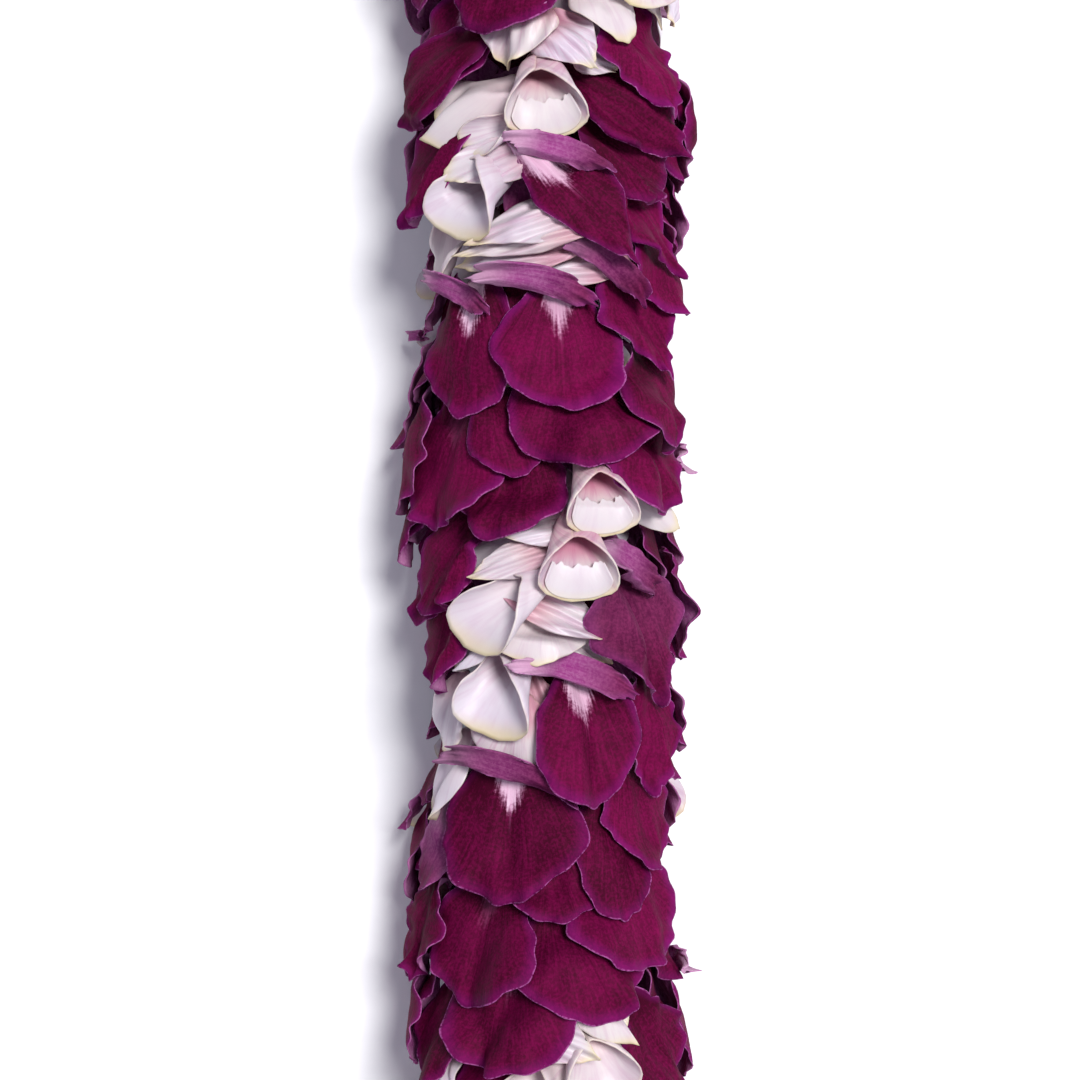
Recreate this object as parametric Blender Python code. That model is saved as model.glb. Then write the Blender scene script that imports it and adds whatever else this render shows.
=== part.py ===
"""A fresh flower lei: two colours of petals threaded on one closed string, laid flat on a surface.

The string lies in a horizontal plane as a D: one straight run at +X, two round ends and a gently
bowed run at -X. Seen from above it goes round clockwise, and every petal points along it. Places in
the lei are given in string coordinates: a length along the string, a distance from its middle, and
an angle round it, with 0 degrees on the outside of the D, 90 at the top and 180 on the inside.
"""

import math

import bmesh
import bpy
from mathutils import Matrix, Vector

MM = 0.001

# The D that the string lies in.
STRAIGHT_RUN = 250 * MM
END_RADIUS = 85 * MM
BOW_TILT = math.radians(20)
BOW_RADIUS = END_RADIUS + STRAIGHT_RUN / (2 * math.sin(BOW_TILT))
END_TURN = math.pi - BOW_TILT
LOOP_LENGTH = STRAIGHT_RUN + 2 * END_RADIUS * END_TURN + 2 * BOW_RADIUS * BOW_TILT
CENTRE_TO_BOW = END_RADIUS + BOW_RADIUS - (BOW_RADIUS - END_RADIUS) * math.cos(BOW_TILT)
RUN_X = CENTRE_TO_BOW / 2
THREAD_HEIGHT = 23.5 * MM
THREAD_RADIUS = 0.8 * MM

# The knot that closes the loop, in the middle of the bowed run, and where the petals start after it.
KNOT_AT = -LOOP_LENGTH / 2
KNOT_RADIUS = 2.4 * MM
KNOT_HALF_LENGTH = 1.7 * MM
KNOT_GAP = 4 * MM
FIRST_ROW_AT = KNOT_AT + KNOT_GAP / 2
TOUCH_GAP = 0.3 * MM

# The rows of petals. Each row is a wine cluster and then a white one, one sleeve after the other.
ROWS = 29
ROW_LENGTH = (LOOP_LENGTH - KNOT_GAP) / ROWS
SLEEVE_GAP = 0.55 * MM
SLEEVE_LENGTH = ROW_LENGTH / 2 - SLEEVE_GAP
SLEEVE_BORE = 1.3 * MM
SLEEVE_RADIUS = 3 * MM
PETAL_THICKNESS = 1.2 * MM
LAYER_STEP = SLEEVE_LENGTH - PETAL_THICKNESS

# The colours run round the string as a one-start spiral, which waits over the knot. The white band
# is on top where a sleeve starts at WHITE_ON_TOP_AT, so its petals show on top a little further on.
SPIRAL_TURNS = 10
SPIRAL_PITCH = (LOOP_LENGTH - KNOT_GAP) / SPIRAL_TURNS
WHITE_ON_TOP_AT = -7.5 * MM
WHITE_SHARE = math.radians(120)
COLOUR_GAP = math.radians(10)
WINE_WIDTH = math.tau - WHITE_SHARE - COLOUR_GAP
WHITE_WIDTH = WHITE_SHARE - COLOUR_GAP
WINE_PETALS = 4
WINE_PLAIN_STEPS = 3
WHITE_PETALS = 3
WHITE_PLAIN_STEPS = 5

# One layer of petals in section, as distances from the string and lengths along it.
PETAL_MID = (27 * MM, 13.5 * MM)
PETAL_TIP = (31 * MM, 27.5 * MM)
PETAL_NOTCH = (29.3 * MM, 19.5 * MM)
INNER_HUB_RISE = 1.35 * MM
INNER_MID_SHIFT = (-1.0 * MM, 0.8 * MM)
INNER_TIP_SHIFT = (-PETAL_THICKNESS, 0.0)

# The finish of each kind of piece: its colour and its roughness.
WINE_FINISH = ((0.130, 0.006, 0.050, 1.0), 0.55)
WHITE_FINISH = ((0.800, 0.720, 0.760, 1.0), 0.45)
THREAD_FINISH = ((0.780, 0.760, 0.700, 1.0), 0.80)


def clear_scene():
    """Removes every object, so that the lei is the only thing in the scene."""
    for obj in list(bpy.data.objects):
        bpy.data.objects.remove(obj, do_unlink=True)


def make_collection(name):
    """Returns a new collection that is linked to the scene."""
    collection = bpy.data.collections.new(name)
    bpy.context.scene.collection.children.link(collection)
    return collection


def make_material(name, finish):
    """Returns a Principled material of one colour and roughness."""
    colour, roughness = finish
    material = bpy.data.materials.new(name)
    material.use_nodes = True
    material.diffuse_color = colour
    shader = material.node_tree.nodes["Principled BSDF"]
    shader.inputs["Base Color"].default_value = colour
    shader.inputs["Roughness"].default_value = roughness
    shader.inputs["Metallic"].default_value = 0.0
    return material


def unit(angle):
    """Returns the level unit vector at an angle from +X."""
    return Vector((math.cos(angle), math.sin(angle), 0.0))


def along_arc(start, heading, radius, distance):
    """Returns the point and the heading after a distance on a clockwise arc."""
    centre = start + radius * unit(heading - math.pi / 2)
    turned = heading - distance / radius
    return centre - radius * unit(turned - math.pi / 2), turned


def string_place(length):
    """Returns the point and the heading of the string at a length past the middle of the straight run."""
    end_length = END_RADIUS * END_TURN
    bow_length = 2 * BOW_RADIUS * BOW_TILT
    rest = (length + STRAIGHT_RUN / 2) % LOOP_LENGTH
    point = Vector((RUN_X, STRAIGHT_RUN / 2, THREAD_HEIGHT))
    heading = -math.pi / 2
    if rest <= STRAIGHT_RUN:
        return point + rest * unit(heading), heading
    rest -= STRAIGHT_RUN
    point = point + STRAIGHT_RUN * unit(heading)
    for radius, arc_length in ((END_RADIUS, end_length), (BOW_RADIUS, bow_length)):
        if rest <= arc_length:
            return along_arc(point, heading, radius, rest)
        point, heading = along_arc(point, heading, radius, arc_length)
        rest -= arc_length
    return along_arc(point, heading, END_RADIUS, rest)


def around_string(length, distance, angle):
    """Returns the point at a distance from the string and an angle round it."""
    point, heading = string_place(length)
    outward = unit(heading + math.pi / 2)
    return point + distance * (math.cos(angle) * outward + math.sin(angle) * Vector((0, 0, 1)))


def white_centre(length):
    """Returns the angle round the string where the middle of the white band is."""
    return math.pi / 2 + math.tau * (length - WHITE_ON_TOP_AT) / SPIRAL_PITCH


def wine_centre(length):
    """Returns the angle round the string where the middle of the wine band is."""
    return white_centre(length) + math.pi


def raised(point, least_height):
    """Returns the point, no lower than a height: petals under the string lie flat on the surface."""
    return Vector((point.x, point.y, max(point.z, least_height)))


def layer_points(start, angle, at_tip):
    """Returns one petal layer in section, from its inner hub out to the tip and back to its outer hub."""
    edge = PETAL_TIP if at_tip else PETAL_NOTCH
    inner = []
    for (distance, along), shift in ((PETAL_MID, INNER_MID_SHIFT), (edge, INNER_TIP_SHIFT)):
        point = around_string(start + along + shift[1], distance + shift[0], angle)
        inner.append(raised(point, PETAL_THICKNESS))
    outer = []
    for distance, along in (edge, PETAL_MID):
        outer.append(raised(around_string(start + along, distance, angle), 0.0))
    inner_hub = around_string(start + INNER_HUB_RISE, SLEEVE_RADIUS, angle)
    outer_hub = around_string(start, SLEEVE_RADIUS, angle)
    return [inner_hub, *inner, *outer, outer_hub]


def petal_section(start, angles, at_tip):
    """Returns the 14 points of a section through a cluster where it has petals.

    They go up the bore, round the upper layer of petals, down the sleeve and round the lower layer.
    """
    bore = [around_string(start + along, SLEEVE_BORE, angles[0]) for along in (0.0, SLEEVE_LENGTH)]
    upper = layer_points(start + LAYER_STEP, angles[1], at_tip)
    upper[0] = around_string(start + SLEEVE_LENGTH, SLEEVE_RADIUS, angles[1])
    return bore + upper + layer_points(start, angles[0], at_tip)


def plain_section(start, angles):
    """Returns the 4 points of a section through the sleeve alone, in the order of petal_section."""
    return [
        around_string(start, SLEEVE_BORE, angles[0]),
        around_string(start + SLEEVE_LENGTH, SLEEVE_BORE, angles[0]),
        around_string(start + SLEEVE_LENGTH, SLEEVE_RADIUS, angles[1]),
        around_string(start, SLEEVE_RADIUS, angles[0]),
    ]


def strip(mesh, first, second):
    """Joins two sections of the same number of points with a ring of four-sided faces."""
    for index in range(len(first)):
        after = (index + 1) % len(first)
        mesh.faces.new((first[index], first[after], second[after], second[index]))


def close_side(mesh, section, plain):
    """Closes the sides of both petal layers at a section and joins it to the next plain section."""
    bore_low, bore_high, *upper = section[:8]
    lower = section[8:]
    for layer in (upper, lower):
        inner_hub, inner_mid, inner_tip, outer_tip, outer_mid, outer_hub = layer
        mesh.faces.new((inner_hub, inner_mid, outer_mid, outer_hub))
        mesh.faces.new((inner_mid, inner_tip, outer_tip, outer_mid))
    plain_bore_low, plain_bore_high, plain_high, plain_low = plain
    mesh.faces.new((bore_low, bore_high, plain_bore_high, plain_bore_low))
    mesh.faces.new((bore_high, upper[0], plain_high, plain_bore_high))
    mesh.faces.new((lower[-1], bore_low, plain_bore_low, plain_low))
    mesh.faces.new((upper[0], upper[-1], plain_high))
    mesh.faces.new((upper[-1], lower[0], plain_low, plain_high))
    mesh.faces.new((lower[0], lower[-1], plain_low))


def make_cluster(name, start, centre, width, petals, plain_steps, material, collection):
    """Makes one cluster: a sleeve round the string with two layers of petals on a part of its turn.

    It is a loft between unlike sections: each petal has a section at its middle, and one in the notch
    to either side. Both layers follow the colour spiral, so the upper one is turned on by one step.
    The rest of the turn is the plain sleeve.
    """
    turn_on = centre(start + LAYER_STEP) - centre(start)
    step = width / (2 * petals)
    first_angle = centre(start) - width / 2
    mesh = bmesh.new()
    sections = []
    for index in range(2 * petals + 1):
        angle = first_angle + index * step
        points = petal_section(start, (angle, angle + turn_on), index % 2 == 1)
        sections.append([mesh.verts.new(point) for point in points])
    plain = []
    for index in range(1, plain_steps):
        angle = first_angle + width + index * (math.tau - width) / plain_steps
        points = plain_section(start, (angle, angle + turn_on))
        plain.append([mesh.verts.new(point) for point in points])
    for first, second in zip(sections, sections[1:]):
        strip(mesh, first, second)
    for first, second in zip(plain, plain[1:]):
        strip(mesh, first, second)
    close_side(mesh, sections[-1], plain[0])
    close_side(mesh, sections[0], plain[-1])
    bmesh.ops.recalc_face_normals(mesh, faces=mesh.faces)

    point, heading = string_place(start)
    place = Matrix.Translation(point) @ Matrix.Rotation(heading, 4, "Z")
    bmesh.ops.transform(mesh, matrix=place.inverted(), verts=mesh.verts)
    return finish_object(name, mesh, place, material, collection)


def finish_object(name, mesh, place, material, collection):
    """Returns an object that holds a bmesh, at its place and in its material and collection."""
    data = bpy.data.meshes.new(name)
    mesh.to_mesh(data)
    mesh.free()
    data.materials.append(material)
    obj = bpy.data.objects.new(name, data)
    obj.matrix_world = place
    collection.objects.link(obj)
    return obj


def make_thread(material, collection):
    """Makes the string, open at the knot, with a bend at each end of each sleeve."""
    first = KNOT_AT + KNOT_HALF_LENGTH + TOUCH_GAP
    last = KNOT_AT + LOOP_LENGTH - KNOT_HALF_LENGTH - TOUCH_GAP
    sleeve_step = ROW_LENGTH / 2
    bends = [FIRST_ROW_AT + index * sleeve_step - SLEEVE_GAP / 2 for index in range(1, 2 * ROWS)]
    lengths = [first, *bends, last]
    curve = bpy.data.curves.new("thread", "CURVE")
    curve.dimensions = "3D"
    curve.bevel_depth = THREAD_RADIUS
    curve.bevel_resolution = 1
    curve.use_fill_caps = True
    spline = curve.splines.new("POLY")
    spline.points.add(len(lengths) - 1)
    for bend, length in zip(spline.points, lengths):
        point, heading = string_place(length)
        bend.co = (*point, 1.0)
    curve.materials.append(material)
    thread = bpy.data.objects.new("thread", curve)
    collection.objects.link(thread)
    return thread


def make_knot(material, collection):
    """Makes the knot as one tight lump, a little wider than it is long."""
    point, heading = string_place(KNOT_AT)
    mesh = bmesh.new()
    bmesh.ops.create_uvsphere(mesh, u_segments=10, v_segments=7, radius=1.0)
    size = Matrix.Diagonal((KNOT_HALF_LENGTH, KNOT_RADIUS, KNOT_RADIUS, 1.0))
    bmesh.ops.transform(mesh, matrix=size, verts=mesh.verts)
    place = Matrix.Translation(point) @ Matrix.Rotation(heading, 4, "Z")
    return finish_object("thread_knot", mesh, place, material, collection)


def main():
    """Builds the rows of petals from the knot round to the knot, then the string and the knot."""
    clear_scene()
    lei = make_collection("fresh_flower_lei")
    wine = make_material("wine_petal", WINE_FINISH)
    white = make_material("white_petal", WHITE_FINISH)
    thread = make_material("thread", THREAD_FINISH)
    for row in range(ROWS):
        start = FIRST_ROW_AT + row * ROW_LENGTH
        make_cluster(
            f"wine_petals_{row + 1:02d}",
            start,
            wine_centre,
            WINE_WIDTH,
            WINE_PETALS,
            WINE_PLAIN_STEPS,
            wine,
            lei,
        )
        make_cluster(
            f"white_petals_{row + 1:02d}",
            start + ROW_LENGTH / 2,
            white_centre,
            WHITE_WIDTH,
            WHITE_PETALS,
            WHITE_PLAIN_STEPS,
            white,
            lei,
        )
    make_thread(thread, lei)
    make_knot(thread, lei)


main()
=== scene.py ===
"""The looks of a fresh flower lei: every petal, the string, the surface it lies on and the light.

Places in the lei are given in string coordinates, as in its CAD model: a length along the string from
the middle of the straight run, an angle round the string in degrees (0 on the outside of the loop, 90
on top, 180 on the inside), and a distance from the middle of the string. Lengths are in metres, and
the tables of petals are in millimetres and degrees.
"""

import logging
import math
from dataclasses import dataclass, field, replace
from enum import Enum
from functools import cached_property, lru_cache

import bpy
import numpy as np
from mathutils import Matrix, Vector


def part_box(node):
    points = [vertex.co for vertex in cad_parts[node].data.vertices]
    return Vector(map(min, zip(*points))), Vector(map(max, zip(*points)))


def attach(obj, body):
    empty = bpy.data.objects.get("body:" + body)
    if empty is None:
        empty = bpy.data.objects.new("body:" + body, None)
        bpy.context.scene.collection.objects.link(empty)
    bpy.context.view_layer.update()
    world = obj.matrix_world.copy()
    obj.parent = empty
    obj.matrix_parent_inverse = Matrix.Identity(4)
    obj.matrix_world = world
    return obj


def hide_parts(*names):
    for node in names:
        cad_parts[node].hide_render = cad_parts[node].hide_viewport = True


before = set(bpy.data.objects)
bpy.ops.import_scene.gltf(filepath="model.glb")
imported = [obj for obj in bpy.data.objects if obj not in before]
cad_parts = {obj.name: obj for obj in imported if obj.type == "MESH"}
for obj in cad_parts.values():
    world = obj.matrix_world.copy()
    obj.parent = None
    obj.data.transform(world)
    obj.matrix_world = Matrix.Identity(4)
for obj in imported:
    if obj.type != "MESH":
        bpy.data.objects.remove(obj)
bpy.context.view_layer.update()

MM = 0.001
ROWS = 29
LAYERS_PER_ROW = 2
FIRST_GAP = 2 * MM
SPIRAL_TURNS = 10
WHITE_ON_TOP_AT = 7.5 * MM
WHITE_SHARE = 120.0  # degrees round the string
WINE_SHARE = 360.0 - WHITE_SHARE
HUB_TO_BLADE = 15 * MM  # from where a petal leaves the string to the middle of its blade
HAND_LAID_REACH = 112 * MM  # how far from the middle of the straight run petals are listed one by one
FINE_REACH = 140 * MM  # how far from there petals have more points

Array = np.ndarray
Triple = tuple[float, float, float]
Colour = tuple[float, float, float, float]
Range = tuple[float, float]
Waves = tuple[Triple, ...]
log = logging.getLogger("lei")

# Waves as (height, how often in one radian, how much of the petal's own phase).
LONG_WAVES: Waves = ((0.034, 2.7, 1), (0.024, 5.3, 2))
SHORT_WAVES: Waves = ((0.012, 11.0, 3), (0.010, 17.0, 5))
RIM_NOTCHES: Waves = ((1.0, 5, 1), (0.7, 11, 2))
TONGUE_NOTCHES: Waves = ((1.0, 8, 1), (0.7, 17, 2))


def ease(low: float, high: float, value: Array) -> Array:
    """Rises from 0 to 1 between two values, by the cubic 3t^2 - 2t^3.

    Args:
        low: the value where the rise starts.
        high: the value where it ends.
        value: the numbers to ease.

    Returns:
        The eased numbers, 0 below low and 1 above high.
    """
    share = np.clip((value - low) / (high - low), 0.0, 1.0)
    return share * share * (3.0 - 2.0 * share)


def through(three: Triple, share: Array) -> Array:
    """Draws the parabola that passes through three numbers at shares 0, 0.5 and 1.

    Args:
        three: the numbers.
        share: the shares to work it out at.

    Returns:
        The parabola's numbers.
    """
    start, middle, end = three
    rest = 1.0 - share
    return start * rest * (rest - share) + 4.0 * middle * share * rest + end * share * (share - rest)


def wavy(waves: Waves, angle: Array, phase: float) -> Array:
    """Returns the sum of some sine waves of an angle, all shifted by a petal's own phase."""
    return sum(height * np.sin(rate * angle + shift * phase) for height, rate, shift in waves)


@dataclass(frozen=True)
class StringPath:
    """The closed D that the string lies in: a straight run, two round ends and a bowed run.

    The run's place and the string's height come from the frame; the rest are the string's own sizes.

    Attributes:
        run_x: where the straight run lies across the frame.
        height: the height of the string above the surface.
        straight_run: the length of the straight run.
        end_radius: the radius of the two round ends.
        bow_tilt: half the angle that the bowed run turns by.
    """

    run_x: float
    height: float
    straight_run: float = 250 * MM
    end_radius: float = 85 * MM
    bow_tilt: float = math.radians(20)

    @classmethod
    def from_frame(cls, thread_radius: float) -> "StringPath":
        """Returns the path that the frame's own string follows."""
        low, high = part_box("thread")
        return cls(run_x=high.x - thread_radius, height=(low.z + high.z) / 2)

    @cached_property
    def stretches(self) -> dict[str, Array]:
        """The four stretches, each with its start, its heading there, its bend per metre and its end."""
        bow_radius = self.end_radius + self.straight_run / (2 * math.sin(self.bow_tilt))
        end_length = self.end_radius * (math.pi - self.bow_tilt)
        lengths = np.array([self.straight_run, end_length, 2 * bow_radius * self.bow_tilt, end_length])
        bends = np.array([0.0, 1 / self.end_radius, 1 / bow_radius, 1 / self.end_radius])
        headings = -math.pi / 2 - np.concatenate([[0.0], np.cumsum(lengths * bends)[:-1]])
        middle = headings - lengths * bends / 2
        chords = lengths * np.sinc(lengths * bends / math.tau)
        steps = chords[:, None] * np.stack([np.cos(middle), np.sin(middle)], axis=1)
        first = np.array([[self.run_x, self.straight_run / 2]])
        points = np.concatenate([first, first + np.cumsum(steps, axis=0)[:-1]])
        return {"points": points, "headings": headings, "bends": bends, "ends": np.cumsum(lengths)}

    @property
    def length(self) -> float:
        """The length of the string round the whole loop."""
        return float(self.stretches["ends"][-1])

    @property
    def row_length(self) -> float:
        """The length of string that one row of petals takes."""
        return (self.length - 2 * FIRST_GAP) / ROWS

    @property
    def first_row(self) -> float:
        """The place along the string where the first row starts, just past the knot."""
        return FIRST_GAP - self.length / 2

    @property
    def pitch(self) -> float:
        """The length of string in which the colours go round once."""
        return (self.length - 2 * FIRST_GAP) / SPIRAL_TURNS

    def white_centre(self, along: float) -> float:
        """Returns the angle round the string of the middle of the white band, in degrees."""
        return 90.0 + 360.0 * (along - WHITE_ON_TOP_AT) / self.pitch

    def points(self, along: Array, outward: Array, upward: Array) -> Array:
        """Turns string coordinates into places in the frame.

        A stretch bends evenly, so a place on it is its start plus a chord, whose length is the arc times
        sin(half the turn) / half the turn, and which points along the heading less half the turn.

        Args:
            along: lengths along the string.
            outward: distances to the outside of the loop.
            upward: distances above the string.

        Returns:
            The points, with their three coordinates along the last axis.
        """
        parts = self.stretches
        rest = np.mod(along + self.straight_run / 2, self.length)
        which = np.minimum(np.searchsorted(parts["ends"], rest, side="right"), 3)
        arc = rest - np.concatenate([[0.0], parts["ends"]])[which]
        turn = parts["bends"][which] * arc
        start_heading = parts["headings"][which]
        chord = arc * np.sinc(turn / math.tau)
        x = parts["points"][which, 0] + chord * np.cos(start_heading - turn / 2)
        y = parts["points"][which, 1] + chord * np.sin(start_heading - turn / 2)
        heading = start_heading - turn
        x = x - outward * np.sin(heading)
        y = y + outward * np.cos(heading)
        return np.stack([x, y, self.height + upward], axis=-1)


@dataclass(frozen=True)
class PetalForm:
    """The shape that all petals of one kind share, whatever their size.

    Attributes:
        waist: the width at the base, as a share of the full width.
        taper: how much narrower the tip end is than the middle.
        point: how far the tip is drawn out, as a share of the length.
        left: how far the left half turns up, in degrees at the base, the middle and the tip.
        right: the same for the right half. A minus turns it down, towards the string.
        slopes: how steeply the petal rises from the string at its claw, blade and tip, in degrees.
        depth: how far the blade lies under the usual radius.
        ruffle: the height of the waves along its edge, as a share of the width.
        waves: how many waves go round the edge.
        ragged: how uneven its outline is, where 1 is usual.
        crease: the depth of the groove down the middle, as a share of the width.
        pleats: how many small folds lie side by side across it.
        pleat_height: the height of those folds, as a share of the width.
        bend: how far its ends bend to the left, as a share of the length.
        thickness: the thickness in the middle.
    """

    waist: float
    taper: float
    point: float
    left: Triple
    right: Triple
    slopes: Triple
    depth: float = 0.0
    ruffle: float = 0.03
    waves: float = 5.0
    ragged: float = 1.0
    crease: float = 0.0
    pleats: float = 0.0
    pleat_height: float = 0.0
    bend: float = 0.0
    thickness: float = 0.45 * MM


@dataclass(frozen=True)
class ConeForm:
    """The shape of a petal that is rolled into a trumpet with a slanting mouth.

    The width of such a petal is the width of its mouth.

    Attributes:
        left: how far the left edge goes round from the lowest line, in degrees.
        right: how far the right edge goes round. Past the top it lies inside the left edge.
        cut: where the mouth starts at the top, as a share of the length.
        slopes: how steeply the petal rises from the string at its claw, blade and tip, in degrees.
        depth: how far its lowest line lies under the usual radius.
        flare: how much the rim widens, as a share of the radius.
        ragged: how uneven the rim is, as a share of the length.
        thickness: the thickness in the middle.
        is_tongue: whether it is the tongue in a trumpet's mouth.
        root: the radius at the claw, as a share of half the width.
        full_at: the share of the length where it reaches its full width.
        flatness: its height over its width.
    """

    left: float
    right: float
    cut: float
    slopes: Triple
    depth: float
    flare: float = 0.16
    ragged: float = 0.008
    thickness: float = 0.6 * MM
    is_tongue: bool = False
    root: float = 0.10
    full_at: float = 0.8
    flatness: float = 0.78

    def rim(self, angle: Array) -> Array:
        """Returns where the rim lies at each angle from the lowest line, as a share of the length.

        It is cut + (1 - cut) ((1 + cos(angle)) / 2)^0.7, so that the mouth slants.
        """
        return self.cut + (1.0 - self.cut) * ((1.0 + np.cos(np.minimum(angle, math.pi))) / 2.0) ** 0.7

    def radius(self, width: float, along: Array) -> Array:
        """Returns the radius, which grows with the 0.75th power of the share of the length."""
        growth = (np.maximum(along, 0.0) / self.full_at) ** 0.75
        return width / 2 * (self.root + (1.0 - self.root) * growth)


class Kind(Enum):
    """The kinds of petal in the lei."""

    BROAD = PetalForm(0.62, 0.04, 0.018, (-12, -24, 8), (-12, -24, 8), (50, 9, 5), ruffle=0.042, crease=0.04)
    FLARED = PetalForm(0.55, 0.10, 0.035, (0, -14, 24), (-16, -30, 8), (52, 10, 10), ruffle=0.05, waves=4)
    LANCE = PetalForm(
        0.55, 0.40, 0.09, (-14, -34, -40), (4, -10, 34), (45, 12, 6), ruffle=0.075, waves=5, crease=0.06
    )
    FOLD = PetalForm(
        0.7, 0.22, 0.0, (-30, -80, -20), (-60, -100, -90), (24, -2, -22), ruffle=0.12, ragged=2.6, bend=0.4
    )
    HOOD = PetalForm(
        0.75, 0.18, 0.02, (-110, -70, 80), (-110, -100, -50), (40, 14, -6), ruffle=0.012, waves=3, ragged=0.6
    )
    BLADE = PetalForm(0.55, 0.25, 0.03, (-14, -30, -10), (-14, -30, -10), (45, 9, 0), waves=3, ragged=0.6)
    PLEATED = PetalForm(
        0.65,
        0.40,
        0.06,
        (-10, -35, 10),
        (20, -10, 40),
        (35, 9, 6),
        ruffle=0.05,
        waves=4,
        ragged=0.8,
        pleats=4.5,
        pleat_height=0.045,
    )
    TRUMPET = ConeForm(-168, 208, 0.42, (36, 28, 0), 7.5 * MM)
    CALLA = ConeForm(-118, 214, 0.34, (36, 24, -4), 7.0 * MM)
    TUBE = ConeForm(-160, 196, 0.62, (28, 16, -4), 8.0 * MM)
    LIP = ConeForm(-76, 76, 0.42, (36, 28, 0), 7.5 * MM, ragged=0.06, thickness=0.4 * MM, is_tongue=True)


@dataclass(frozen=True)
class PetalPlace:
    """One petal: its kind, its size, where it sits and how it is marked.

    Attributes:
        kind: the kind of petal.
        along: the place along the string of the middle of its blade.
        around: the angle round the string there, in degrees.
        length: from its base to its tip.
        width: across the middle, laid flat.
        turn: degrees that its tip swings towards smaller angles round the string.
        lift: how far it lies outside the usual radius.
        spin: degrees that it is turned about its own length, towards smaller angles.
        twist: degrees that it turns about its own length from base to tip.
        blaze: how strong the pale mark at the base of a wine petal is.
        cream: how strong the cream tip of a white petal is.
        flush: how pink a white petal is, and how much painted shade its mouth and folds get, or how far a
            wine one shows its lilac back.
        lip: whether it is a trumpet with a ragged tongue in its mouth.
        seed: the number that its small irregularities come from.
        by_hand: whether its place is given in the lists, so that it is laid even where there is little room.
    """

    kind: Kind
    along: float
    around: float
    length: float
    width: float
    turn: float = 0.0
    lift: float = 0.0
    spin: float = 0.0
    twist: float = 0.0
    blaze: float = 0.0
    cream: float = 0.6
    flush: float = 0.0
    lip: bool = False
    seed: int = 0
    by_hand: bool = False

    @property
    def order(self) -> float:
        """Its place in the order of laying, where a petal that is lifted more is laid later."""
        return self.along - 5.0 * self.lift


@dataclass(frozen=True)
class Shell:
    """The faces of a thin closed sheet whose two sides are square grids of points.

    The upper side's points come first, column by column, and then the lower side's. One ring of faces
    joins the two round the edge.

    Attributes:
        steps: the points along each side of the grid.
    """

    steps: int

    @cached_property
    def faces(self) -> Array:
        """The corner numbers of all faces: the upper side, the lower side, then the edge."""
        index = np.arange(self.steps**2).reshape(self.steps, self.steps)
        corners = (index[:-1, :-1], index[:-1, 1:], index[1:, 1:], index[1:, :-1])
        upper = np.stack([corner.ravel() for corner in corners], axis=1)
        lower = upper[:, ::-1] + self.steps**2
        ring = np.concatenate([index[0, :-1], index[:-1, -1], index[-1, :0:-1], index[:0:-1, 0]])
        after = np.roll(ring, -1)
        edge = np.stack([after, ring, ring + self.steps**2, after + self.steps**2], axis=1)
        return np.concatenate([upper, lower, edge])

    @cached_property
    def flat_places(self) -> Array:
        """Where each face corner lies on a flat area 2 wide and 1 high: upper side left, lower side right.

        The edge's faces lie in the border round the upper side.
        """
        border = 0.05
        share = np.linspace(border, 1 - border, self.steps)
        grid = np.stack(np.meshgrid(share, share, indexing="ij"), axis=-1).reshape(-1, 2)
        both = np.concatenate([grid, grid + [1.0, 0.0]])
        flat = both[self.faces]
        edge = slice(2 * (self.steps - 1) ** 2, None)
        inner = grid[self.faces[edge] % self.steps**2]
        outer = 0.5 + (inner - 0.5) * (0.5 - 0.2 * border) / (0.5 - border)
        is_lower = self.faces[edge] >= self.steps**2
        flat[edge] = np.where(is_lower[..., None], outer, inner)
        return flat


@lru_cache(maxsize=None)
def shell_of(steps: int) -> Shell:
    """Returns the shell with that many points along each side of its grid."""
    return Shell(steps)


@dataclass
class Sheet:
    """The points and marks of one thin piece, ready to be joined with others in a mesh.

    Attributes:
        steps: the points along each side of its grid.
        points: the upper side's points and then the lower side's.
        place: for each point, the angle of its vein, its share of the length, and its share from the edge.
        nature: for each point, the petal's tone, its seed, and 1 on the lower side. The string has none.
        marks: for each point, the petal's blaze, cream and flush. The string has none.
    """

    steps: int
    points: Array
    place: Array
    nature: Array | None = None
    marks: Array | None = None


def thicken(upper: Array, thickness: Array) -> Array:
    """Gives a surface its lower side, one thickness inward along the normal.

    The normal is the cross product of the grid's two directions.

    Args:
        upper: the grid of points, steps x steps x 3.
        thickness: the thickness at each point.

    Returns:
        The grid's points in one list, and after them those of the lower side.
    """
    across = np.gradient(upper, axis=0)
    down = np.gradient(upper, axis=1)
    normal = np.cross(down, across)
    normal /= np.maximum(np.linalg.norm(normal, axis=-1, keepdims=True), 1e-12)
    lower = upper - normal * thickness[..., None]
    return np.concatenate([upper.reshape(-1, 3), lower.reshape(-1, 3)])


def rest_on_surface(points: Array, soft_height: float) -> Array:
    """Presses the lowest points flat, so that they stay above the surface in their old order.

    Below the soft height h, a height z becomes h exp((z - h) / h), which never reaches the surface.

    Args:
        points: the points, which are changed in place.
        soft_height: the height below which they are pressed flat.

    Returns:
        The same points.
    """
    height = points[..., 2]
    pressed = soft_height * np.exp(np.minimum(height - soft_height, 0.0) / soft_height)
    points[..., 2] = np.where(height < soft_height, pressed, height)
    return points


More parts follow.
